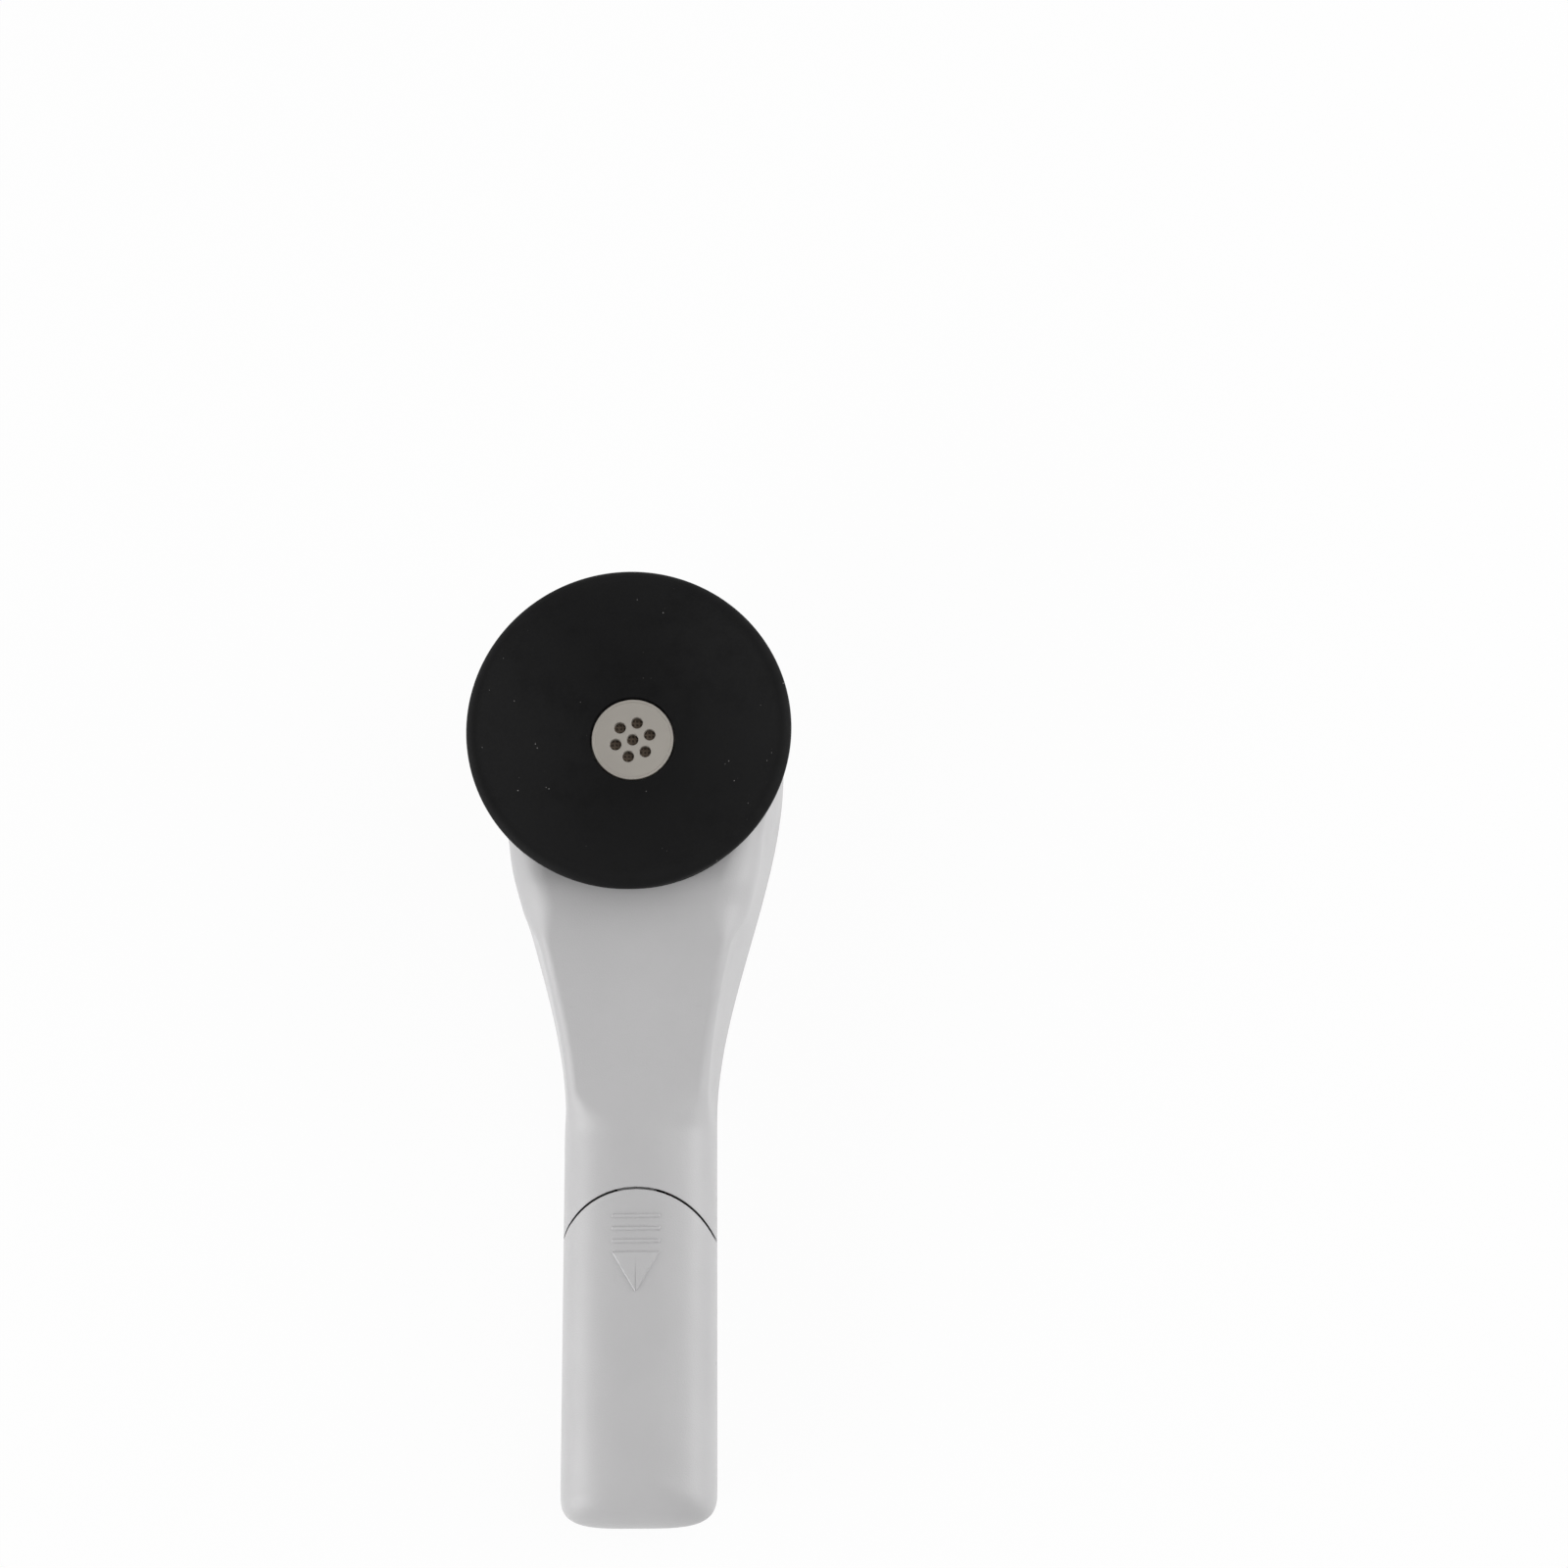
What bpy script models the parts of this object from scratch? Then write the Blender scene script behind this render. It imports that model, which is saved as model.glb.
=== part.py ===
"""Handheld screening audiometer, built as an assembly of separate pieces.

Lengths are metres. +Z is up, the device lies on its flat back, +Y runs from the grip to the round head.
The origin is the middle of the bounding box at the level of the back.
"""

import math

import bmesh
import bpy
from mathutils import Matrix, Vector

# Fits shared by every piece
GAP = 0.0003  # clearance between a piece and what it rests on or passes through
OVERRUN = 0.001  # how far a cutter runs past the face it cuts
PLANE_OVERRUN = 0.003  # how far each half runs past the parting plane before it is trimmed
WELD = 0.000002  # points closer than this are one point
MIDDLE_OF_WALL_SHARE = 0.5
MERGE = 0.0006  # how far a post or rib runs into the wall that carries it

# Casing: plan outline
HEAD_RADIUS = 0.0302
GRIP_HALF_WIDTH = 0.0158
FLARE_LENGTH = 0.075  # from the head's centre down to where the grip starts to widen
TIP_DEPTH = 0.008  # length of the rounded tip in plan
TIP_SQUARENESS = 3.7
TIP_ROLL = 0.013  # length over which the ear side rolls down to the tip

# Casing: section
GRIP_HEIGHT = 0.026
HEAD_HEIGHT = 0.038
PARTING_HEIGHT = 0.012
RISE_FOOT = 0.0735  # distances from the head's centre between which the ear side climbs
RISE_TOP = 0.0275
CROWN_SQUARENESS = 2.6
BAY_SQUARENESS = 3.2  # the inner side of the grip is squarer, to clear the battery's corners
NECK_SHOULDER = 0.0022  # radius of the rounded edge of the ear side
COLLAR_SHOULDER = 0.007  # the same close under the cushion
HEAD_SHOULDER = 0.0016
NECK_SLOPE = 0.12  # how much the side wall leans inwards as it rises
HEAD_SLOPE = 0.05
SHOULDER_FOOT = 0.079  # from the head's centre down to where the shoulders have died out
SHOULDER_FADE = 0.010  # length over which the grip's crown turns into the neck's shoulders
NECK_FALL = 0.0022  # how far the neck's sides lie below its middle line, at its foot
COLLAR_FALL = 0.0016  # the same close under the cushion
FALL_POWER = 2.4
FALL_MIDDLE = 0.052  # distances from the head's centre where the neck is flat across,
COLLAR_FOOT = 0.041  # where the collar's wide edge starts,
COLLAR_MIDDLE = 0.033  # is full,
COLLAR_TOP = 0.0275  # starts to die out where the head's flat deck begins,
COLLAR_END = 0.011  # and ends
BACK_CORNER = 0.0055
BACK_SQUARENESS = 2.3
BACK_INNER_CORNER = 0.003
SIDE_WALL = 0.0018
FRONT_WALL = 0.0018
BACK_WALL = 0.0024
SHELL_SEAM = 0.0003  # gap between the front and rear shells
COVER_SEAM = 0.0005  # gap round the arched top of the battery cover

# Casing: how finely the surfaces are divided
TIP_STEPS = 5
GRIP_STEPS = 2
FLARE_STEPS = 15
HEAD_STEPS = 8
SECTION_STEPS = 6

# Battery cover
ARCH_RISE = 0.0106  # height of the arched top over the grip's half width
ARCH_STEPS = 12
GRIP_MARK_WIDTH = 0.0099
GRIP_BAR_HEIGHT = 0.0009
GRIP_BAR_PITCH = 0.0025
GRIP_BAR_COUNT = 3
ARROW_HEIGHT = 0.0082
GRIP_MARK_RISE = 0.0003  # how far the marks stand out of the cover
GRIP_MARK_DROP = 0.0049  # from the top of the arch down to the first bar
LATCH_WIDTH = 0.008
LATCH_THICKNESS = 0.0012
LATCH_ROOT = 0.004
LATCH_SETBACK = 0.001
LATCH_REACH = 0.003
TIP_TAB_WIDTH = 0.006
TIP_TAB_THICKNESS = 0.001
TIP_TAB_HEIGHT = 0.002  # above the rear shell's rim

# Battery, its snap connector and leads
BATTERY_SIDE_ROOM = 0.001  # between the battery and the casing's sides
BATTERY_HEADROOM = 0.0045  # between the battery and the crown of its cover
BATTERY_LENGTH = 0.0464
BATTERY_CORNER = 0.0025
TERMINAL_SPACING = 0.0127
TERMINAL_HEIGHT = 0.0021
POSITIVE_RADIUS = 0.0028
NEGATIVE_RADIUS = 0.0038
NEGATIVE_SIDES = 6
SNAP_DEPTH = 0.0018  # how far the studs reach into the connector
END_STOP_DEPTH = 0.0048  # from the tip to the rib that stops the battery
END_STOP_THICKNESS = 0.0012
END_STOP_WIDTH = 0.018
FOAM_THICKNESS = 0.0011
FOAM_WIDTH = 0.016
FOAM_HEIGHT = 0.008
CONNECTOR_INSET = 0.0003  # how much narrower the connector is than the battery, on each side
CONNECTOR_HEIGHT = 0.0115
CONNECTOR_THICKNESS = 0.0045
CONNECTOR_CORNER = 0.0024
LEAD_ROOM = 0.0083
LEAD_RADIUS = 0.0006
LEAD_OFFSET = 0.0056  # half the distance between the battery leads where they pass the bulkhead
LEAD_SPREAD = 0.0016  # half the distance between two leads where they are joined to something
LEAD_HEIGHT = 0.0101  # height at which the battery leads pass the bulkhead
LEAD_NOTCH_WIDTH = 0.003
BULKHEAD_THICKNESS = 0.0016
COVER_SETBACK = 0.0005  # top of the arch to the bulkhead

# Casing screws and their posts
SCREW_HEAD_RADIUS = 0.0023
SCREW_HEAD_HEIGHT = 0.0016
SCREW_SHANK_RADIUS = 0.0011
SCREW_SHANK_LENGTH = 0.015
SCREW_SLOT_WIDTH = 0.0006
SCREW_SLOT_DEPTH = 0.0006
COUNTERBORE_DEPTH = 0.004
POST_WALL = 0.0012
POST_CLEARANCE = 0.001
FRONT_POST_RADIUS = 0.0032
HEAD_POST_HEIGHT = 0.011
HEAD_POST_WEB = 0.0016
HEAD_SCREW_RADIUS = 0.021  # radius of the two head screws from the head's centre
HEAD_SCREW_ANGLE = 60.0
NECK_SCREW_OFFSET = 0.0128
NECK_SCREW_DROP = 0.05

# Display
WINDOW_WIDTH = 0.0364
WINDOW_HEIGHT = 0.0244
WINDOW_CORNER = 0.002
WINDOW_THICKNESS = 0.0009
WINDOW_RECESS = 0.0002
WINDOW_LEDGE = 0.0015
DISPLAY_WIDTH = 0.035
DISPLAY_HEIGHT = 0.023
DISPLAY_THICKNESS = 0.0022
DISPLAY_CORNER = 0.0006
DISPLAY_FRAME_WALL = 0.0013
DISPLAY_FRAME_HEIGHT = 0.0026
STRIP_WIDTH = 0.0018
STRIP_INSET = 0.0005
STRIP_LENGTH = 0.033

# Circuit board
BOARD_RADIUS = 0.024
BOARD_SIDE_ROOM = 0.0025  # between the board's tongue and the casing's sides
BOARD_REACH = 0.0778  # from the head's centre to the board's lower edge
BOARD_HEIGHT = 0.0075
BOARD_THICKNESS = 0.0016
BOARD_NOTCH_CLEARANCE = 0.0006
BOARD_SCREW_OFFSET = 0.0214
BOARD_SCREW_DROP = 0.0055
BOARD_POST_RADIUS = 0.0017
BOARD_SCREW_HEAD_RADIUS = 0.0018
BOARD_SCREW_HEAD_HEIGHT = 0.0012
BOARD_SCREW_SHANK_RADIUS = 0.0008
BOARD_SCREW_LENGTH = 0.005
BOARD_STEPS = 28
CHIP_SIZE = 0.01
CHIP_THICKNESS = 0.0014
CHIP_DROP = 0.034
AMPLIFIER_WIDTH = 0.0062
AMPLIFIER_LENGTH = 0.005
AMPLIFIER_THICKNESS = 0.0017
AMPLIFIER_DROP = 0.052
CRYSTAL_LENGTH = 0.0105
CRYSTAL_WIDTH = 0.0045
CRYSTAL_THICKNESS = 0.0035
CRYSTAL_DROP = 0.0205
CAPACITOR_RADIUS = 0.0025
CAPACITOR_HEIGHT = 0.0068
CAPACITOR_DROP = 0.0625
CAPACITOR_OFFSET = 0.0058
HEADER_WIDTH = 0.006
HEADER_DEPTH = 0.0034
HEADER_HEIGHT = 0.0045
PART_ROUNDING = 0.0004
DRIVER_HEADER_RISE = 0.0135
BATTERY_HEADER_DROP = 0.0718

# Keys and the rubber mat behind them
KEY_RADIUS = 0.0045
POWER_KEY_RADIUS = 0.0038
TONE_KEY_HALF_WIDTH = 0.0078
TONE_KEY_HALF_HEIGHT = 0.0045
KEY_RECESS = 0.0004  # the keys stay this far above the surface that the device lies on
KEY_ROUNDING = 0.0005
KEY_FLANGE = 0.0008
KEY_FLANGE_THICKNESS = 0.0008
KEY_STEM_INSET = 0.0017
KEY_TRAVEL = 0.0008
KEY_CLEARANCE = 0.0003
KEY_COLUMN = 0.0088
FREQUENCY_ROW = 0.0262
LEVEL_ROW = 0.0382
TONE_ROW = 0.0568
POWER_ROW = 0.0693
MAT_HEIGHT = 0.0047
MAT_THICKNESS = 0.0008
MAT_RIM = 0.001
MAT_TOP_DROP = 0.0196
MAT_BOTTOM_DROP = 0.0746
MAT_HALF_WIDTH = 0.0146
MAT_NECK_HALF_WIDTH = 0.0085
MAT_NECK_DROP = 0.0448
MAT_CORNER = 0.001
KEY_STEPS = 16

# Earphone: cap, cloth, driver and clamp
CAP_RADIUS = 0.0275
CAP_THICKNESS = 0.002
BOSS_RADIUS = 0.00835
BOSS_HEIGHT = 0.0025  # above the cap's plate
BOSS_ROOF = 0.0013
BOSS_RIM = 0.0005
BOSS_RIM_HEIGHT = 0.0002
BOSS_WALL = 0.0013
SOUND_HOLE_RADIUS = 0.0011
SOUND_HOLE_CIRCLE = 0.0036
SOUND_HOLE_COUNT = 6
SOUND_HOLE_TURN = 16.0
SPIGOT_DEPTH = 0.0022
SPIGOT_WALL = 0.0014
DECK_RADIUS = 0.0247  # opening in the head's top deck
CLOTH_THICKNESS = 0.0006
GASKET_THICKNESS = 0.0008
GASKET_INNER_RADIUS = 0.0141
FRAME_RADIUS = 0.0175
FRAME_FLANGE = 0.0012
FRAME_DEPTH = 0.0047
FRAME_THROAT_RADIUS = 0.0132
FRAME_FLOOR_RADIUS = 0.0112
FRAME_WALL = 0.0009
FRAME_HOLE_RADIUS = 0.0092
DIAPHRAGM_RADIUS = 0.0136
DIAPHRAGM_THICKNESS = 0.0004
DIAPHRAGM_DOME = 0.0004
COIL_RADIUS = 0.007
COIL_WALL = 0.0007
COIL_HEIGHT = 0.0042
MAGNET_RADIUS = 0.011
MAGNET_HEIGHT = 0.006
POLE_RADIUS = 0.0057
CLAMP_THICKNESS = 0.0008
CLAMP_INNER_RADIUS = 0.0138
CLAMP_OUTER_RADIUS = 0.0198
CLAMP_EAR_RADIUS = 0.0024
CLAMP_SCREW_CIRCLE = 0.0214
CLAMP_SCREW_TURN = 30.0
CLAMP_SCREW_COUNT = 3
CLAMP_SCREW_HEAD_RADIUS = 0.0018
CLAMP_SCREW_HEAD_HEIGHT = 0.0012
CLAMP_SCREW_SHANK_RADIUS = 0.0009
CLAMP_SCREW_BITE = 0.0009  # how far the shank runs into the cap's plate
CLAMP_POST_RADIUS = 0.0022
ROUND_STEPS = 36
SMALL_STEPS = 12
DRIVER_STEPS = 28

# Ear cushion
CUSHION_RADIUS = 0.0325
CUSHION_TOP_HEIGHT = 0.0544
CUSHION_HOLE_RISE = 0.0005  # the hole's edge above the cap's boss
CUSHION_HOLE_ROUNDING = 0.0005
CUSHION_LIP = 0.0019
CUSHION_WAIST_RADIUS = 0.0298
CUSHION_WAIST_HEIGHT = 0.0415
CUSHION_SKIRT_RADIUS = 0.0302
CUSHION_STEPS = 48
DISH_STEPS = 5
LIP_STEPS = 7

# Places along the device, measured from the tip of the grip
FOAM_START = END_STOP_DEPTH + END_STOP_THICKNESS + GAP
BATTERY_START = FOAM_START + FOAM_THICKNESS + GAP
TERMINAL_START = BATTERY_START + BATTERY_LENGTH + GAP
CONNECTOR_START = TERMINAL_START + TERMINAL_HEIGHT - SNAP_DEPTH
CONNECTOR_END = CONNECTOR_START + CONNECTOR_THICKNESS
BULKHEAD_START = CONNECTOR_END + LEAD_ROOM
REAR_POST_RADIUS = SCREW_HEAD_RADIUS + GAP + POST_WALL
GRIP_SCREW_PLACE = BULKHEAD_START + BULKHEAD_THICKNESS + POST_CLEARANCE + REAR_POST_RADIUS
BOARD_END_PLACE = GRIP_SCREW_PLACE + REAR_POST_RADIUS + POST_CLEARANCE
HEAD_REACH = BOARD_END_PLACE + BOARD_REACH  # tip of the grip to the centre of the round head

# Row coordinates
TIP_Y = -(HEAD_REACH + CUSHION_RADIUS) / 2
HEAD_Y = TIP_Y + HEAD_REACH
ARCH_TOP = TIP_Y + BULKHEAD_START - COVER_SETBACK
REAR_TOP = PARTING_HEIGHT - SHELL_SEAM / 2
FRONT_BASE = PARTING_HEIGHT + SHELL_SEAM / 2

# Heights of the display, keys and board
WINDOW_POCKET = WINDOW_RECESS + WINDOW_THICKNESS + GAP
DISPLAY_BASE = BACK_WALL + GAP
STRIP_BASE = DISPLAY_BASE + DISPLAY_THICKNESS + GAP
STRIP_TOP = BOARD_HEIGHT - GAP
BOARD_TOP = BOARD_HEIGHT + BOARD_THICKNESS
PART_SEAT = BOARD_TOP + GAP
KEY_FLANGE_BASE = BACK_WALL + GAP
KEY_FLANGE_TOP = KEY_FLANGE_BASE + KEY_FLANGE_THICKNESS
KEY_STEM_END = BOARD_HEIGHT - GAP - KEY_TRAVEL

# Widths that follow from the grip
BAY_HALF_WIDTH = GRIP_HALF_WIDTH - SIDE_WALL
BATTERY_WIDTH = 2 * (BAY_HALF_WIDTH - BATTERY_SIDE_ROOM)
CONNECTOR_WIDTH = BATTERY_WIDTH - 2 * CONNECTOR_INSET
BOARD_TONGUE_HALF_WIDTH = BAY_HALF_WIDTH - BOARD_SIDE_ROOM

# Heights of the battery
BATTERY_BASE = BACK_WALL + GAP
BATTERY_THICKNESS = GRIP_HEIGHT - FRONT_WALL - BATTERY_HEADROOM - BATTERY_BASE
BATTERY_MIDDLE = BATTERY_BASE + BATTERY_THICKNESS / 2

# Heights of the earphone, from the top down
CAP_BASE = HEAD_HEIGHT + GAP
CAP_TOP = CAP_BASE + CAP_THICKNESS
BOSS_TOP = CAP_TOP + BOSS_HEIGHT
BOSS_CEILING = BOSS_TOP - BOSS_ROOF
CLOTH_TOP = BOSS_CEILING - GAP
GASKET_TOP = CAP_BASE - GAP
GASKET_BASE = GASKET_TOP - GASKET_THICKNESS
FRAME_TOP = GASKET_BASE - GAP
FRAME_UNDER_FLANGE = FRAME_TOP - FRAME_FLANGE
FRAME_BASE = FRAME_UNDER_FLANGE - FRAME_DEPTH
CLAMP_TOP = FRAME_UNDER_FLANGE - GAP
CLAMP_BASE = CLAMP_TOP - CLAMP_THICKNESS
MAGNET_TOP = FRAME_BASE - GAP
MAGNET_BASE = MAGNET_TOP - MAGNET_HEIGHT
COIL_TOP = FRAME_TOP
POLE_TOP = COIL_TOP - GAP


def clear_scene():
    for old in list(bpy.data.objects):
        bpy.data.objects.remove(old, do_unlink=True)


def make_material(name, colour, roughness, metallic=0.0, alpha=1.0):
    material = bpy.data.materials.new(name)
    material.use_nodes = True
    shader = material.node_tree.nodes["Principled BSDF"]
    shader.inputs["Base Color"].default_value = (*colour, 1.0)
    shader.inputs["Roughness"].default_value = roughness
    shader.inputs["Metallic"].default_value = metallic
    shader.inputs["Alpha"].default_value = alpha
    material.diffuse_color = (*colour, alpha)
    return material


def finish(obj, material, sharp_angle=35.0):
    """Gives a piece its material and shades its round parts smooth."""
    obj.data.materials.clear()
    obj.data.materials.append(material)
    obj.data.shade_smooth()
    obj.data.set_sharp_from_angle(angle=math.radians(sharp_angle))
    return obj


def move_origin(obj, place):
    """Puts a moving piece's origin at the place it moves from."""
    obj.data.transform(Matrix.Translation(-Vector(place)))
    obj.location = place
    return obj


def clean(bm):
    """Removes doubled points and faces without area, and turns the faces outwards."""
    bmesh.ops.remove_doubles(bm, verts=bm.verts, dist=WELD)
    bmesh.ops.dissolve_degenerate(bm, dist=WELD, edges=bm.edges)
    bmesh.ops.recalc_face_normals(bm, faces=bm.faces)


def make_object(name, bm, material=None):
    """A closed mesh from bm."""
    clean(bm)
    mesh = bpy.data.meshes.new(name)
    bm.to_mesh(mesh)
    bm.free()
    obj = bpy.data.objects.new(name, mesh)
    bpy.context.scene.collection.objects.link(obj)
    return finish(obj, material) if material else obj


def combine(target, tools, operation):
    """Cuts the tools from the target, joins them to it or keeps what they share, and removes the tools."""
    for tool in tools:
        modifier = target.modifiers.new(operation.lower(), "BOOLEAN")
        modifier.operation = operation
        modifier.object = tool
        modifier.solver = "EXACT"
        graph = bpy.context.evaluated_depsgraph_get()
        made = bmesh.new()
        made.from_object(target, graph)
        target.modifiers.clear()
        clean(made)
        made.to_mesh(target.data)
        made.free()
        bpy.data.objects.remove(tool, do_unlink=True)
    return target


def cut(target, *tools):
    return combine(target, tools, "DIFFERENCE")


def join(target, *tools):
    return combine(target, tools, "UNION")


def stack_outlines(name, loops, material=None):
    """A closed solid through the given loops of points, one above the other, with flat ends."""
    bm = bmesh.new()
    rings = [[bm.verts.new(point) for point in loop] for loop in loops]
    count = len(rings[0])
    for lower, upper in zip(rings, rings[1:]):
        for i in range(count):
            j = (i + 1) % count
            bm.faces.new((lower[i], lower[j], upper[j], upper[i]))
    bm.faces.new(list(reversed(rings[0])))
    bm.faces.new(rings[-1])
    return make_object(name, bm, material)


def plate(name, outline, low, high, material=None):
    """An outline of (x, y) points extruded from one height to another."""
    bm = bmesh.new()
    face = bm.faces.new([bm.verts.new((x, y, low)) for x, y in outline])
    raised = bmesh.ops.extrude_face_region(bm, geom=[face])
    lifted = [v for v in raised["geom"] if isinstance(v, bmesh.types.BMVert)]
    bmesh.ops.translate(bm, vec=Vector((0, 0, high - low)), verts=lifted)
    return make_object(name, bm, material)


def block(name, low, high, material=None):
    """A box between two corners."""
    (x0, y0, z0), (x1, y1, z1) = low, high
    return plate(name, [(x0, y0), (x1, y0), (x1, y1), (x0, y1)], z0, z1, material)


def turned(name, profile, centre=(0, 0), steps=ROUND_STEPS, material=None, closed=False):
    """A profile of (radius, height) points spun about the vertical axis through centre."""
    bm = bmesh.new()
    points = [bm.verts.new((centre[0] + r, centre[1], z)) for r, z in profile]
    pairs = list(zip(points, points[1:])) + ([(points[-1], points[0])] if closed else [])
    edges = [bm.edges.new(pair) for pair in pairs]
    bmesh.ops.spin(
        bm,
        geom=points + edges,
        cent=Vector((*centre, 0)),
        axis=Vector((0, 0, 1)),
        angle=math.tau,
        steps=steps,
        use_merge=True,
    )
    return make_object(name, bm, material)


def cylinder(name, centre, radius, low, high, steps=SMALL_STEPS, material=None):
    return turned(name, [(0, low), (radius, low), (radius, high), (0, high)], centre, steps, material)


def circle(centre, radius, steps):
    turns = [math.tau * i / steps for i in range(steps)]
    return [(centre[0] + radius * math.cos(t), centre[1] + radius * math.sin(t)) for t in turns]


def arc(centre, radius, start, end, steps):
    """Points on an arc between two angles in degrees, both ends included."""
    turns = [math.radians(start + (end - start) * i / steps) for i in range(steps + 1)]
    return [(centre[0] + radius * math.cos(t), centre[1] + radius * math.sin(t)) for t in turns]


def rounded_box(centre, half_width, half_height, corner, steps=4):
    """Outline of a rectangle with round corners; with corner equal to half_height it is a stadium."""
    x, y = centre
    w, h = half_width - corner, half_height - corner
    return (
        arc((x + w, y + h), corner, 0, 90, steps)
        + arc((x - w, y + h), corner, 90, 180, steps)
        + arc((x - w, y - h), corner, 180, 270, steps)
        + arc((x + w, y - h), corner, 270, 360, steps)
    )


def smooth_step(value, start, end):
    share = min(1.0, max(0.0, (value - start) / (end - start)))
    return share * share * (3 - 2 * share)


def screw(name, place, head_base, head_up, sizes, material):
    """A slotted screw whose head rests at head_base. The shank points up, or down when head_up is false."""
    head_radius, head_height, shank_radius, length = sizes
    way = 1 if head_up else -1
    head_far = head_base - way * head_height
    tip = head_base + way * length
    profile = [
        (0, head_far),
        (head_radius - SCREW_SLOT_DEPTH, head_far),
        (head_radius, head_far + way * SCREW_SLOT_DEPTH),
        (head_radius, head_base),
        (shank_radius, head_base),
        (shank_radius, tip - way * shank_radius),
        (0, tip),
    ]
    made = turned(name, profile, place, SMALL_STEPS, material)
    low, high = sorted((head_far - way * OVERRUN, head_far + way * SCREW_SLOT_DEPTH))
    half = head_radius + OVERRUN
    slot = block(
        "slot",
        (place[0] - half, place[1] - SCREW_SLOT_WIDTH / 2, low),
        (place[0] + half, place[1] + SCREW_SLOT_WIDTH / 2, high),
    )
    return cut(made, slot)


def half_width_at(y):
    """Half width of the casing in plan, between the tip and the head's centre."""
    return GRIP_HALF_WIDTH + (HEAD_RADIUS - GRIP_HALF_WIDTH) * smooth_step(y, HEAD_Y - FLARE_LENGTH, HEAD_Y)


def casing_outline(inset=0.0):
    """Plan outline of the casing, anticlockwise from the middle of the tip, moved inwards by inset."""
    power = 2 / TIP_SQUARENESS
    right = []
    for i in range(TIP_STEPS + 1):
        turn = math.pi / 2 * i / TIP_STEPS
        along = TIP_DEPTH * (1 - math.cos(turn) ** power)
        right.append((GRIP_HALF_WIDTH * math.sin(turn) ** power, TIP_Y + along))
    straight_start = TIP_Y + TIP_DEPTH
    flare_start = HEAD_Y - FLARE_LENGTH
    for i in range(1, GRIP_STEPS + 1):
        right.append((GRIP_HALF_WIDTH, straight_start + (flare_start - straight_start) * i / GRIP_STEPS))
    for i in range(1, FLARE_STEPS + 1):
        y = flare_start + FLARE_LENGTH * i / FLARE_STEPS
        right.append((half_width_at(y), y))
    right += arc((0, HEAD_Y), HEAD_RADIUS, 0, 90, HEAD_STEPS)[1:]
    right[0] = (0, right[0][1])
    right[-1] = (0, right[-1][1])
    loop = right + [(-x, y) for x, y in reversed(right[1:-1])]
    count = len(loop)
    moved = []
    for i, (x, y) in enumerate(loop):
        before, after = loop[i - 1], loop[(i + 1) % count]
        along = Vector((after[0] - before[0], after[1] - before[1])).normalized()
        moved.append((x - along.y * inset, y + along.x * inset))
    return moved


def spine_point(y):
    """The point on the middle line that the section at y is drawn towards."""
    return Vector((0, min(max(y, TIP_Y + TIP_ROLL), HEAD_Y)))


def front_height_at(x, y):
    """Height of the ear side, which climbs to the head and falls away a little to both sides of the neck."""
    climb = smooth_step(y, HEAD_Y - RISE_FOOT, HEAD_Y - RISE_TOP)
    foot, flat, collar = HEAD_Y - SHOULDER_FOOT, HEAD_Y - FALL_MIDDLE, HEAD_Y - COLLAR_MIDDLE
    low = smooth_step(y, foot, foot + SHOULDER_FADE) * (1 - smooth_step(y, foot, flat))
    high = smooth_step(y, flat, collar) * (1 - smooth_step(y, collar, HEAD_Y - COLLAR_TOP))
    across = min(1.0, abs(x) / half_width_at(y)) ** FALL_POWER
    return GRIP_HEIGHT + (HEAD_HEIGHT - GRIP_HEIGHT) * climb - (NECK_FALL * low + COLLAR_FALL * high) * across


def shoulder_section(y, height):
    """Side wall and rounded edge of the neck and the head, as (inward distance, height) pairs."""
    head = smooth_step(y, HEAD_Y - FLARE_LENGTH / 2, HEAD_Y)
    collar = smooth_step(y, HEAD_Y - COLLAR_FOOT, HEAD_Y - COLLAR_MIDDLE)
    collar *= 1 - smooth_step(y, HEAD_Y - COLLAR_TOP, HEAD_Y - COLLAR_END)
    radius = NECK_SHOULDER + (HEAD_SHOULDER - NECK_SHOULDER) * head
    radius += (COLLAR_SHOULDER - radius) * collar
    slope = NECK_SLOPE + (HEAD_SLOPE - NECK_SLOPE) * max(head, collar)
    pairs = [(0.0, 0.0)]
    for i in range(SECTION_STEPS):
        turn = math.pi / 2 * i / (SECTION_STEPS - 1)
        pairs.append((radius * (1 - math.cos(turn)), height - radius * (1 - math.sin(turn))))
    return [(inset + slope * rise, rise) for inset, rise in pairs]


def front_section(y, reach, squareness):
    """The ear side's edge at y, as (inward distance, share of the height) pairs.

    reach is the distance from the edge to the middle.
    """
    foot = HEAD_Y - SHOULDER_FOOT
    neck = smooth_step(y, foot, foot + SHOULDER_FADE)
    height = front_height_at(0, y) - FRONT_BASE
    pairs = []
    for i, (edge_in, rise) in enumerate(shoulder_section(y, height)):
        turn = math.pi / 2 * i / SECTION_STEPS
        across, up = max(0.0, math.cos(turn)), math.sin(turn)
        crown_in = reach * (1 - across ** (2 / squareness))
        crown_up = up ** (2 / squareness)
        pairs.append((crown_in + (edge_in - crown_in) * neck, crown_up + (rise / height - crown_up) * neck))
    return pairs


def back_section(corner):
    """(inward distance, share of the depth) pairs of the rounded edge of the back."""
    pairs = []
    for i in range(SECTION_STEPS + 1):
        turn = math.pi / 2 * i / SECTION_STEPS
        across, up = max(0.0, math.cos(turn)), math.sin(turn)
        pairs.append((corner * (1 - across ** (2 / BACK_SQUARENESS)), up ** (2 / BACK_SQUARENESS)))
    return pairs


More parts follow.
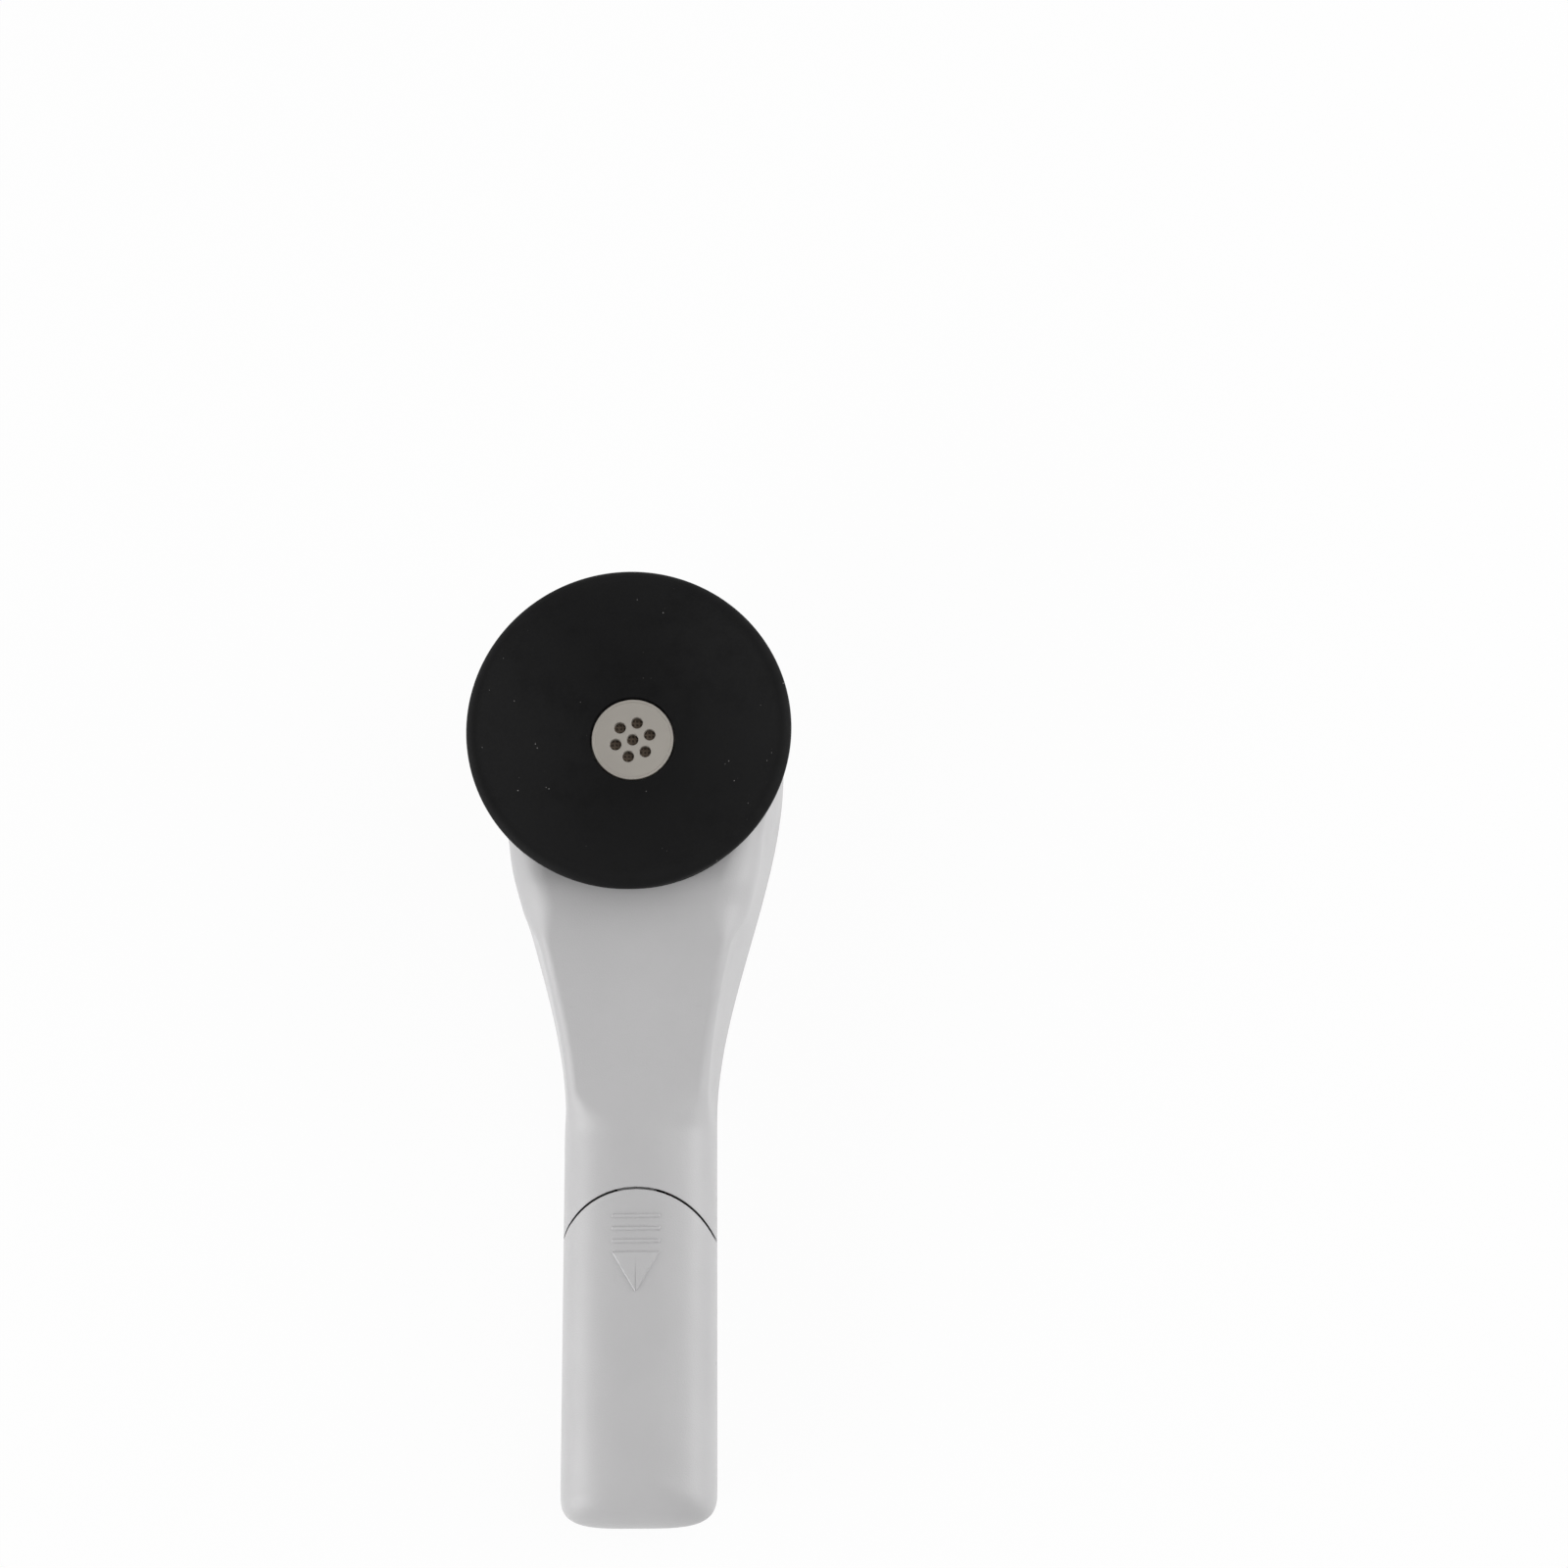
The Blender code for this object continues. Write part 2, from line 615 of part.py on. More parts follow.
def casing_half(name, front, depth_share=0.0):
    """One half of the casing as a solid that runs past the parting plane.

    depth_share moves its surface into the wall: 0 is the outer skin and 1 the inner one.
    """
    base = FRONT_BASE if front else REAR_TOP
    squareness = CROWN_SQUARENESS + (BAY_SQUARENESS - CROWN_SQUARENESS) * depth_share
    corner = BACK_CORNER + (BACK_INNER_CORNER - BACK_CORNER) * depth_share
    bm = bmesh.new()
    columns = []
    for x, y in casing_outline(SIDE_WALL * depth_share):
        edge = Vector((x, y))
        middle = spine_point(y)
        reach = (middle - edge).length
        inward = (middle - edge).normalized() if reach > WELD else Vector((0, 0))
        pairs = front_section(y, reach, squareness) if front else back_section(corner)
        column = [(x, y, base - PLANE_OVERRUN if front else base + PLANE_OVERRUN)]
        for step_in, share in pairs:
            place = edge + inward * min(step_in, reach)
            far = front_height_at(*place) - FRONT_WALL * depth_share if front else BACK_WALL * depth_share
            column.append((*place, base + (far - base) * share))
        far = front_height_at(*middle) - FRONT_WALL * depth_share if front else BACK_WALL * depth_share
        column.append((*middle, far))
        columns.append([bm.verts.new(point) for point in column])
    count = len(columns)
    for i, column in enumerate(columns):
        beside = columns[(i + 1) % count]
        for k in range(len(column) - 1):
            bm.faces.new((column[k], beside[k], beside[k + 1], column[k + 1]))
    bm.faces.new([column[0] for column in reversed(columns)])
    clean(bm)
    bmesh.ops.triangulate(bm, faces=bm.faces)  # a twisted four-sided face has no single plane to cut
    return make_object(name, bm)


def trim_to_plane(shell, front):
    """Cuts away what runs past the parting plane."""
    side = HEAD_RADIUS + OVERRUN
    low, high = (-HEAD_HEIGHT, FRONT_BASE) if front else (REAR_TOP, HEAD_HEIGHT)
    return cut(shell, block("beyond", (-side, TIP_Y - OVERRUN, low), (side, HEAD_Y + side, high)))


def inside_wall(work, front):
    """Trims posts and ribs to a surface halfway through the casing's wall."""
    return combine(work, [casing_half("trim", front, MIDDLE_OF_WALL_SHARE)], "INTERSECT")


def arch_prism(name, growth):
    """Everything on the tip's side of the cover's arched top, moved outwards by growth."""
    radius = (GRIP_HALF_WIDTH**2 + ARCH_RISE**2) / (2 * ARCH_RISE)
    centre_y = ARCH_TOP - radius
    wide = GRIP_HALF_WIDTH + OVERRUN
    reach = radius + growth
    turn = math.degrees(math.acos(wide / reach))
    outline = [(-wide, TIP_Y - OVERRUN), (wide, TIP_Y - OVERRUN)]
    outline += arc((0, centre_y), reach, turn, 180 - turn, ARCH_STEPS)
    return plate(name, outline, PARTING_HEIGHT - OVERRUN, GRIP_HEIGHT + OVERRUN)


def grip_marks():
    """The finger bars and the arrow that stand out of the battery cover, rooted in its wall."""
    top = ARCH_TOP - GRIP_MARK_DROP
    half = GRIP_MARK_WIDTH / 2
    low, high = GRIP_HEIGHT - FRONT_WALL / 2, GRIP_HEIGHT + OVERRUN
    marks = []
    for i in range(GRIP_BAR_COUNT):
        y = top - GRIP_BAR_PITCH * i
        marks.append(block("bar", (-half, y - GRIP_BAR_HEIGHT, low), (half, y, high)))
    arrow_top = top - GRIP_BAR_PITCH * GRIP_BAR_COUNT
    arrow = [(-half, arrow_top), (0, arrow_top - ARROW_HEIGHT), (half, arrow_top)]
    marks = join(plate("arrow", arrow, low, high), *marks)
    return combine(marks, [casing_half("skin", True, -GRIP_MARK_RISE / FRONT_WALL)], "INTERSECT")


def head_screw_places():
    turn = math.radians(HEAD_SCREW_ANGLE)
    x, y = HEAD_SCREW_RADIUS * math.cos(turn), HEAD_SCREW_RADIUS * math.sin(turn)
    return [(x, HEAD_Y + y), (-x, HEAD_Y + y)]


def neck_screw_places():
    return [(NECK_SCREW_OFFSET, HEAD_Y - NECK_SCREW_DROP), (-NECK_SCREW_OFFSET, HEAD_Y - NECK_SCREW_DROP)]


def grip_screw_place():
    return (0, TIP_Y + GRIP_SCREW_PLACE)


def casing_screw_places():
    return [*head_screw_places(), *neck_screw_places(), grip_screw_place()]


def board_screw_places():
    return [(side * BOARD_SCREW_OFFSET, HEAD_Y - BOARD_SCREW_DROP) for side in (1, -1)]


def front_half(name):
    """The hollow ear side, still running past the parting plane."""
    return cut(casing_half(name, front=True), casing_half("hollow", front=True, depth_share=1.0))


def make_battery_cover(material):
    cover = front_half("battery_cover")
    combine(cover, [arch_prism("arch", 0.0)], "INTERSECT")
    join(cover, grip_marks())
    trim_to_plane(cover, front=True)
    half = LATCH_WIDTH / 2
    top = GRIP_HEIGHT - FRONT_WALL - GAP
    bottom = top - LATCH_THICKNESS
    root_start, root_end = ARCH_TOP - LATCH_ROOT, ARCH_TOP - LATCH_SETBACK
    root = block("root", (-half, root_start, bottom), (half, root_end, top + GAP + MERGE))
    tongue = block("tongue", (-half, root_start, bottom), (half, ARCH_TOP + LATCH_REACH, top))
    return move_origin(finish(join(cover, join(root, tongue)), material), (0, TIP_Y, PARTING_HEIGHT))


def make_front_shell(material):
    shell = front_half("front_shell")
    cut(shell, arch_prism("arch", COVER_SEAM))
    deck = (HEAD_HEIGHT - FRONT_WALL - OVERRUN, HEAD_HEIGHT + OVERRUN)
    cut(shell, cylinder("deck_opening", (0, HEAD_Y), DECK_RADIUS, *deck, ROUND_STEPS))
    low, top = FRONT_BASE - OVERRUN, FRONT_BASE + HEAD_POST_HEIGHT
    centre = Vector((0, HEAD_Y))
    for x, y in head_screw_places():
        inner = Vector((x, y))
        outward = (inner - centre).normalized()
        side = Vector((-outward.y, outward.x)) * HEAD_POST_WEB / 2
        outer = centre + outward * HEAD_RADIUS
        corners = [tuple(p) for p in (inner - side, outer - side, outer + side, inner + side)]
        web = inside_wall(plate("web", corners, low - MERGE, top - MERGE), front=True)
        join(shell, join(cylinder("post", (x, y), FRONT_POST_RADIUS, low, top), web))
    for place in [*neck_screw_places(), grip_screw_place()]:
        post = cylinder("post", place, FRONT_POST_RADIUS, low, HEAD_HEIGHT)
        join(shell, inside_wall(post, front=True))
    bore_top = COUNTERBORE_DEPTH + SCREW_SHANK_LENGTH + GAP
    for place in casing_screw_places():
        cut(shell, cylinder("bore", place, SCREW_SHANK_RADIUS + GAP, low - OVERRUN, bore_top))
    return finish(trim_to_plane(shell, front=True), material)


def key_table():
    """Each key's name, centre, half width and half height. Someone reading the back has +X on the left."""
    return [
        ("frequency_down_key", (KEY_COLUMN, HEAD_Y - FREQUENCY_ROW), KEY_RADIUS, KEY_RADIUS),
        ("frequency_up_key", (-KEY_COLUMN, HEAD_Y - FREQUENCY_ROW), KEY_RADIUS, KEY_RADIUS),
        ("level_down_key", (KEY_COLUMN, HEAD_Y - LEVEL_ROW), KEY_RADIUS, KEY_RADIUS),
        ("level_up_key", (-KEY_COLUMN, HEAD_Y - LEVEL_ROW), KEY_RADIUS, KEY_RADIUS),
        ("tone_key", (0, HEAD_Y - TONE_ROW), TONE_KEY_HALF_WIDTH, TONE_KEY_HALF_HEIGHT),
        ("power_key", (0, HEAD_Y - POWER_ROW), POWER_KEY_RADIUS, POWER_KEY_RADIUS),
    ]


def key_outline(centre, half_width, half_height, growth):
    """A key's outline, a circle or a stadium, grown by growth."""
    radius = half_height + growth
    return rounded_box(centre, half_width + growth, radius, radius, KEY_STEPS // 4)


def at_height(outline, z):
    return [(x, y, z) for x, y in outline]


def make_key(name, centre, half_width, half_height, material):
    levels = [
        (KEY_RECESS, -KEY_ROUNDING),
        (KEY_RECESS + KEY_ROUNDING, 0.0),
        (KEY_FLANGE_BASE, 0.0),
        (KEY_FLANGE_BASE, KEY_FLANGE),
        (KEY_FLANGE_TOP, KEY_FLANGE),
        (KEY_FLANGE_TOP, -KEY_STEM_INSET),
        (KEY_STEM_END, -KEY_STEM_INSET),
    ]
    loops = [at_height(key_outline(centre, half_width, half_height, growth), z) for z, growth in levels]
    return move_origin(stack_outlines(name, loops, material), (*centre, KEY_FLANGE_BASE))


def make_keypad_mat(material):
    """Rubber sheet behind the keys, with a rim that stands off the board and holes for the stems."""
    top, bottom = HEAD_Y - MAT_TOP_DROP, HEAD_Y - MAT_BOTTOM_DROP
    step = HEAD_Y - MAT_NECK_DROP

    def sheet_outline(inset):
        wide, narrow = MAT_HALF_WIDTH - inset, MAT_NECK_HALF_WIDTH - inset
        slope = MAT_HALF_WIDTH - MAT_NECK_HALF_WIDTH
        right = [
            (wide - MAT_CORNER, top - inset),
            (wide, top - MAT_CORNER - inset),
            (wide, step + slope),
            (narrow, step),
            (narrow, bottom + MAT_CORNER + inset),
            (narrow - MAT_CORNER, bottom + inset),
        ]
        return right + [(-x, y) for x, y in reversed(right)]

    mat = plate("keypad_mat", sheet_outline(0.0), MAT_HEIGHT, STRIP_TOP)
    cut(mat, plate("tray", sheet_outline(MAT_RIM), MAT_HEIGHT + MAT_THICKNESS, STRIP_TOP + OVERRUN))
    for _, centre, half_width, half_height in key_table():
        hole = key_outline(centre, half_width, half_height, KEY_CLEARANCE - KEY_STEM_INSET)
        cut(mat, plate("stem_hole", hole, MAT_HEIGHT - OVERRUN, STRIP_TOP + OVERRUN))
    return finish(mat, material)


def rear_ribs():
    """The bulkhead with its lead notches, the battery's end stop, and the tab that holds the cover's tip."""
    floor, top = 0.0, REAR_TOP - GAP
    start = TIP_Y + BULKHEAD_START
    half = GRIP_HALF_WIDTH
    bulkhead = block("bulkhead", (-half, start, floor), (half, start + BULKHEAD_THICKNESS, top))
    for side in (1, -1):
        left = side * LEAD_OFFSET - LEAD_NOTCH_WIDTH / 2
        low = (left, start - OVERRUN, LEAD_HEIGHT - LEAD_NOTCH_WIDTH / 2)
        high = (left + LEAD_NOTCH_WIDTH, start + BULKHEAD_THICKNESS + OVERRUN, PARTING_HEIGHT)
        cut(bulkhead, block("notch", low, high))
    stop = TIP_Y + END_STOP_DEPTH
    half = END_STOP_WIDTH / 2
    end_stop = block("end_stop", (-half, stop, floor), (half, stop + END_STOP_THICKNESS, top))
    tab = TIP_Y + SIDE_WALL + GAP
    half = TIP_TAB_WIDTH / 2
    foot = block("foot", (-half - MERGE, TIP_Y, floor), (half + MERGE, tab + TIP_TAB_THICKNESS + MERGE, top))
    tip_tab = block("tab", (-half, tab, floor), (half, tab + TIP_TAB_THICKNESS, REAR_TOP + TIP_TAB_HEIGHT))
    return [inside_wall(work, front=False) for work in (bulkhead, end_stop, join(foot, tip_tab))]


def make_rear_shell(material):
    shell = cut(casing_half("rear_shell", front=False), casing_half("hollow", front=False, depth_share=1.0))
    bore = SCREW_SHANK_RADIUS + GAP
    for place in casing_screw_places():
        join(shell, inside_wall(cylinder("post", place, REAR_POST_RADIUS, 0, PARTING_HEIGHT), front=False))
        cut(shell, cylinder("counterbore", place, SCREW_HEAD_RADIUS + GAP, -OVERRUN, COUNTERBORE_DEPTH))
        cut(shell, cylinder("clearance", place, bore, COUNTERBORE_DEPTH - OVERRUN, PARTING_HEIGHT + OVERRUN))
    trim_to_plane(shell, front=False)
    join(shell, *rear_ribs())
    bore = BOARD_SCREW_SHANK_RADIUS + GAP
    for place in board_screw_places():
        post = cylinder("board_post", place, BOARD_POST_RADIUS, 0, BOARD_HEIGHT - GAP)
        join(shell, inside_wall(post, front=False))
        cut(shell, cylinder("board_bore", place, bore, BACK_WALL + GAP, BOARD_HEIGHT + OVERRUN))
    centre = (0, HEAD_Y)
    pocket = rounded_box(centre, WINDOW_WIDTH / 2 + GAP, WINDOW_HEIGHT / 2 + GAP, WINDOW_CORNER + GAP)
    cut(shell, plate("window_pocket", pocket, -OVERRUN, WINDOW_POCKET))
    sight_width, sight_height = WINDOW_WIDTH / 2 - WINDOW_LEDGE, WINDOW_HEIGHT / 2 - WINDOW_LEDGE
    sight = rounded_box(centre, sight_width, sight_height, DISPLAY_CORNER)
    cut(shell, plate("sight", sight, WINDOW_POCKET - WINDOW_RECESS, BACK_WALL + OVERRUN))
    for _, key_centre, half_width, half_height in key_table():
        hole = key_outline(key_centre, half_width, half_height, KEY_CLEARANCE)
        cut(shell, plate("key_hole", hole, -OVERRUN, BACK_WALL + OVERRUN))
    return finish(shell, material)


def make_display(lens_material, glass_material, frame_material, strip_material):
    centre = (0, HEAD_Y)
    window = rounded_box(centre, WINDOW_WIDTH / 2, WINDOW_HEIGHT / 2, WINDOW_CORNER)
    plate("lcd_window", window, WINDOW_RECESS, WINDOW_RECESS + WINDOW_THICKNESS, lens_material)
    half_width, half_height = DISPLAY_WIDTH / 2, DISPLAY_HEIGHT / 2
    panel = rounded_box(centre, half_width, half_height, DISPLAY_CORNER)
    plate("lcd_panel", panel, DISPLAY_BASE, DISPLAY_BASE + DISPLAY_THICKNESS, glass_material)
    grown = GAP + DISPLAY_FRAME_WALL
    outer = rounded_box(centre, half_width + grown, half_height + grown, DISPLAY_CORNER + grown)
    inner = rounded_box(centre, half_width + GAP, half_height + GAP, DISPLAY_CORNER + GAP)
    frame = plate("lcd_frame", outer, DISPLAY_BASE, DISPLAY_BASE + DISPLAY_FRAME_HEIGHT, frame_material)
    cut(frame, plate("opening", inner, DISPLAY_BASE - OVERRUN, BOARD_HEIGHT + OVERRUN))
    for name, side in (("upper_zebra_strip", 1), ("lower_zebra_strip", -1)):
        middle = HEAD_Y + side * (half_height - STRIP_INSET - STRIP_WIDTH / 2)
        block(
            name,
            (-STRIP_LENGTH / 2, middle - STRIP_WIDTH / 2, STRIP_BASE),
            (STRIP_LENGTH / 2, middle + STRIP_WIDTH / 2, STRIP_TOP),
            strip_material,
        )


def make_board(material):
    tongue_turn = math.degrees(math.asin(BOARD_TONGUE_HALF_WIDTH / BOARD_RADIUS))
    outline = arc((0, HEAD_Y), BOARD_RADIUS, tongue_turn - 90, 270 - tongue_turn, BOARD_STEPS)
    end = HEAD_Y - BOARD_REACH
    outline += [(-BOARD_TONGUE_HALF_WIDTH, end), (BOARD_TONGUE_HALF_WIDTH, end)]
    board = plate("main_board", outline, BOARD_HEIGHT, BOARD_TOP, material)
    for x, y in [*head_screw_places(), *neck_screw_places()]:
        radius = REAR_POST_RADIUS + BOARD_NOTCH_CLEARANCE
        cut(board, cylinder("notch", (x, y), radius, BOARD_HEIGHT - OVERRUN, BOARD_TOP + OVERRUN))
    for x, y in board_screw_places():
        bore = BOARD_SCREW_SHANK_RADIUS + GAP
        cut(board, cylinder("bore", (x, y), bore, BOARD_HEIGHT - OVERRUN, BOARD_TOP + OVERRUN))
    return board


def part_on_board(name, centre, size, corner, material):
    width, length, height = size
    outline = rounded_box(centre, width / 2, length / 2, corner, 2)
    return plate(name, outline, PART_SEAT, PART_SEAT + height, material)


def make_board_parts(chip_material, can_material, sleeve_material, header_material):
    small = PART_ROUNDING
    chip = (CHIP_SIZE, CHIP_SIZE, CHIP_THICKNESS)
    part_on_board("processor_chip", (0, HEAD_Y - CHIP_DROP), chip, small, chip_material)
    amplifier = (AMPLIFIER_WIDTH, AMPLIFIER_LENGTH, AMPLIFIER_THICKNESS)
    part_on_board("amplifier_chip", (0, HEAD_Y - AMPLIFIER_DROP), amplifier, small, chip_material)
    crystal = (CRYSTAL_LENGTH, CRYSTAL_WIDTH, CRYSTAL_THICKNESS)
    part_on_board("crystal_can", (0, HEAD_Y - CRYSTAL_DROP), crystal, CRYSTAL_WIDTH / 2, can_material)
    for name, side in (("left_capacitor", -1), ("right_capacitor", 1)):
        centre = (side * CAPACITOR_OFFSET, HEAD_Y - CAPACITOR_DROP)
        top = PART_SEAT + CAPACITOR_HEIGHT
        profile = [
            (0, PART_SEAT),
            (CAPACITOR_RADIUS, PART_SEAT),
            (CAPACITOR_RADIUS, top - small),
            (CAPACITOR_RADIUS - small, top),
            (0, top),
        ]
        turned(name, profile, centre, SMALL_STEPS, sleeve_material)
    header = (HEADER_WIDTH, HEADER_DEPTH, HEADER_HEIGHT)
    part_on_board("driver_lead_header", (0, HEAD_Y + DRIVER_HEADER_RISE), header, small, header_material)
    part_on_board("battery_lead_header", (0, HEAD_Y - BATTERY_HEADER_DROP), header, small, header_material)


def along_grip(name, outline, low, high, material=None):
    """An outline of (x, z) points extruded along the grip from one y to another."""
    loops = [[(x, y, z) for x, z in outline] for y in (low, high)]
    return stack_outlines(name, loops, material)


def make_battery(jacket_material, stud_material, connector_material, foam_material):
    middle = (0, BATTERY_MIDDLE)
    start = TIP_Y + BATTERY_START
    jacket = rounded_box(middle, BATTERY_WIDTH / 2, BATTERY_THICKNESS / 2, BATTERY_CORNER)
    along_grip("battery", jacket, start, start + BATTERY_LENGTH, jacket_material)
    block_outline = rounded_box(middle, CONNECTOR_WIDTH / 2, CONNECTOR_HEIGHT / 2, CONNECTOR_CORNER)
    face, back = TIP_Y + CONNECTOR_START, TIP_Y + CONNECTOR_END
    connector = along_grip("snap_connector", block_outline, face, back)
    low, high = TIP_Y + TERMINAL_START, TIP_Y + TERMINAL_START + TERMINAL_HEIGHT
    studs = (
        ("positive_terminal", POSITIVE_RADIUS, 1, SMALL_STEPS),
        ("negative_terminal", NEGATIVE_RADIUS, -1, NEGATIVE_SIDES),
    )
    for name, radius, side, sides in studs:
        centre = (side * TERMINAL_SPACING / 2, BATTERY_MIDDLE)
        along_grip(name, circle(centre, radius, sides), low, high, stud_material)
        cut(connector, along_grip("socket", circle(centre, radius + GAP, sides), face - OVERRUN, high + GAP))
    finish(connector, connector_material)
    foam = TIP_Y + FOAM_START
    block(
        "battery_foam",
        (-FOAM_WIDTH / 2, foam, BACK_WALL + GAP),
        (FOAM_WIDTH / 2, foam + FOAM_THICKNESS, BACK_WALL + GAP + FOAM_HEIGHT),
        foam_material,
    )


def make_wire(name, points, material):
    """A wire along a smooth line through the given points."""
    path = []
    ends = [points[0], *points, points[-1]]
    for i in range(len(points) - 1):
        a, b, c, d = (Vector(p) for p in ends[i : i + 4])
        steps = max(1, round((c - b).length / (LEAD_RADIUS * 4)))
        for k in range(steps):
            t = k / steps
            bend = 2 * a - 5 * b + 4 * c - d
            twist = 3 * b - a - 3 * c + d
            path.append((2 * b + (c - a) * t + bend * t**2 + twist * t**3) / 2)
    path.append(Vector(points[-1]))
    curve = bpy.data.curves.new(name, "CURVE")
    curve.dimensions = "3D"
    curve.bevel_depth = LEAD_RADIUS
    curve.bevel_resolution = 2
    curve.use_fill_caps = True
    spline = curve.splines.new("POLY")
    spline.points.add(len(path) - 1)
    for point, place in zip(spline.points, path):
        point.co = (*place, 1)
    curve.materials.append(material)
    obj = bpy.data.objects.new(name, curve)
    bpy.context.scene.collection.objects.link(obj)
    return obj


def make_battery_leads(red, black):
    """From the snap connector through the bulkhead's notches and past the grip screw to the header."""
    connector_y = TIP_Y + CONNECTOR_END + GAP
    bulkhead_y = TIP_Y + BULKHEAD_START + BULKHEAD_THICKNESS / 2
    header_y = HEAD_Y - BATTERY_HEADER_DROP - HEADER_DEPTH / 2 - GAP
    header_z = PART_SEAT + HEADER_HEIGHT / 2
    bend = LEAD_ROOM / 4
    for name, side, material in (("battery_lead_red", 1, red), ("battery_lead_black", -1, black)):
        near, far = side * LEAD_SPREAD, side * LEAD_OFFSET
        points = [
            (near, connector_y, BATTERY_MIDDLE),
            (near, connector_y + bend, BATTERY_MIDDLE),
            (far, bulkhead_y - bend, LEAD_HEIGHT),
            (far, bulkhead_y + bend, LEAD_HEIGHT),
            (far, TIP_Y + GRIP_SCREW_PLACE, (LEAD_HEIGHT + header_z) / 2),
            (far, TIP_Y + BOARD_END_PLACE, header_z),
            (near, header_y - bend / 2, header_z),
            (near, header_y, header_z),
        ]
        make_wire(name, points, material)


def make_driver_leads(red, black):
    """From the board's header up past the magnet to the side of the driver's frame."""
    start = PART_SEAT + HEADER_HEIGHT + GAP
    header_y = HEAD_Y + DRIVER_HEADER_RISE
    radius = MAGNET_RADIUS + GAP + LEAD_RADIUS * 2
    slope_share = (radius - LEAD_RADIUS - FRAME_FLOOR_RADIUS) / (FRAME_THROAT_RADIUS - FRAME_FLOOR_RADIUS)
    end = FRAME_BASE + FRAME_DEPTH * slope_share - GAP
    climb = end - start
    for name, side, material in (("driver_lead_red", 1, red), ("driver_lead_black", -1, black)):
        x = side * LEAD_SPREAD
        points = [
            (x, header_y, start),
            (x, header_y, start + climb / 8),
            (x * 2, header_y + HEADER_DEPTH, start + climb / 2),
            (x, HEAD_Y + radius, end - climb / 8),
            (x, HEAD_Y + radius, end),
        ]
        make_wire(name, points, material)


def make_cap(material):
    """Off-white front plate of the earphone, with the boss that shows in the cushion's hole."""
    centre = (0, HEAD_Y)
    cavity = BOSS_RADIUS - BOSS_WALL
    spigot_outer, spigot_base = DECK_RADIUS - GAP, CAP_BASE - SPIGOT_DEPTH
    profile = [
        (0, BOSS_CEILING),
        (cavity, BOSS_CEILING),
        (cavity, CAP_BASE),
        (spigot_outer - SPIGOT_WALL, CAP_BASE),
        (spigot_outer - SPIGOT_WALL, spigot_base),
        (spigot_outer, spigot_base),
        (spigot_outer, CAP_BASE),
        (CAP_RADIUS, CAP_BASE),
        (CAP_RADIUS, CAP_TOP - BOSS_RIM),
        (CAP_RADIUS - BOSS_RIM, CAP_TOP),
        (BOSS_RADIUS, CAP_TOP),
        (BOSS_RADIUS, BOSS_TOP),
        (BOSS_RADIUS - BOSS_RIM, BOSS_TOP),
        (BOSS_RADIUS - BOSS_RIM, BOSS_TOP - BOSS_RIM_HEIGHT),
        (0, BOSS_TOP - BOSS_RIM_HEIGHT),
    ]
    cap = turned("earphone_cap", profile, centre, ROUND_STEPS)
    holes = [centre]
    for i in range(SOUND_HOLE_COUNT):
        turn = math.radians(SOUND_HOLE_TURN) + math.tau * i / SOUND_HOLE_COUNT
        holes.append((SOUND_HOLE_CIRCLE * math.cos(turn), HEAD_Y + SOUND_HOLE_CIRCLE * math.sin(turn)))
    for place in holes:
        cut(cap, cylinder("hole", place, SOUND_HOLE_RADIUS, BOSS_CEILING - OVERRUN, BOSS_TOP + OVERRUN))
    bore = CLAMP_SCREW_SHANK_RADIUS + GAP
    for place in clamp_screw_places():
        join(cap, cylinder("post", place, CLAMP_POST_RADIUS, CLAMP_TOP + GAP, CAP_BASE + MERGE))
        cut(cap, cylinder("bore", place, bore, CLAMP_TOP - OVERRUN, CAP_BASE + CLAMP_SCREW_BITE + GAP))
    return finish(cap, material)


def clamp_screw_places():
    between = 360 / CLAMP_SCREW_COUNT
    last = CLAMP_SCREW_TURN + between * (CLAMP_SCREW_COUNT - 1)
    return arc((0, HEAD_Y), CLAMP_SCREW_CIRCLE, CLAMP_SCREW_TURN, last, CLAMP_SCREW_COUNT - 1)


def clamp_outline():
    """Outer outline of the clamp ring, with a round ear at each screw."""
    ring, far, ear = CLAMP_OUTER_RADIUS, CLAMP_SCREW_CIRCLE, CLAMP_EAR_RADIUS
    meet = math.acos((ring**2 + far**2 - ear**2) / (2 * ring * far))
    spread = math.degrees(math.acos((ring * math.cos(meet) - far) / ear))
    meet = math.degrees(meet)
    between = 360 / CLAMP_SCREW_COUNT
    steps = SMALL_STEPS // 2
    outline = []
    for i, place in enumerate(clamp_screw_places()):
        turn = CLAMP_SCREW_TURN + between * i
        outline += arc(place, ear, turn - spread, turn + spread, steps)
        outline += arc((0, HEAD_Y), ring, turn + meet, turn + between - meet, steps)[1:-1]
    return outline


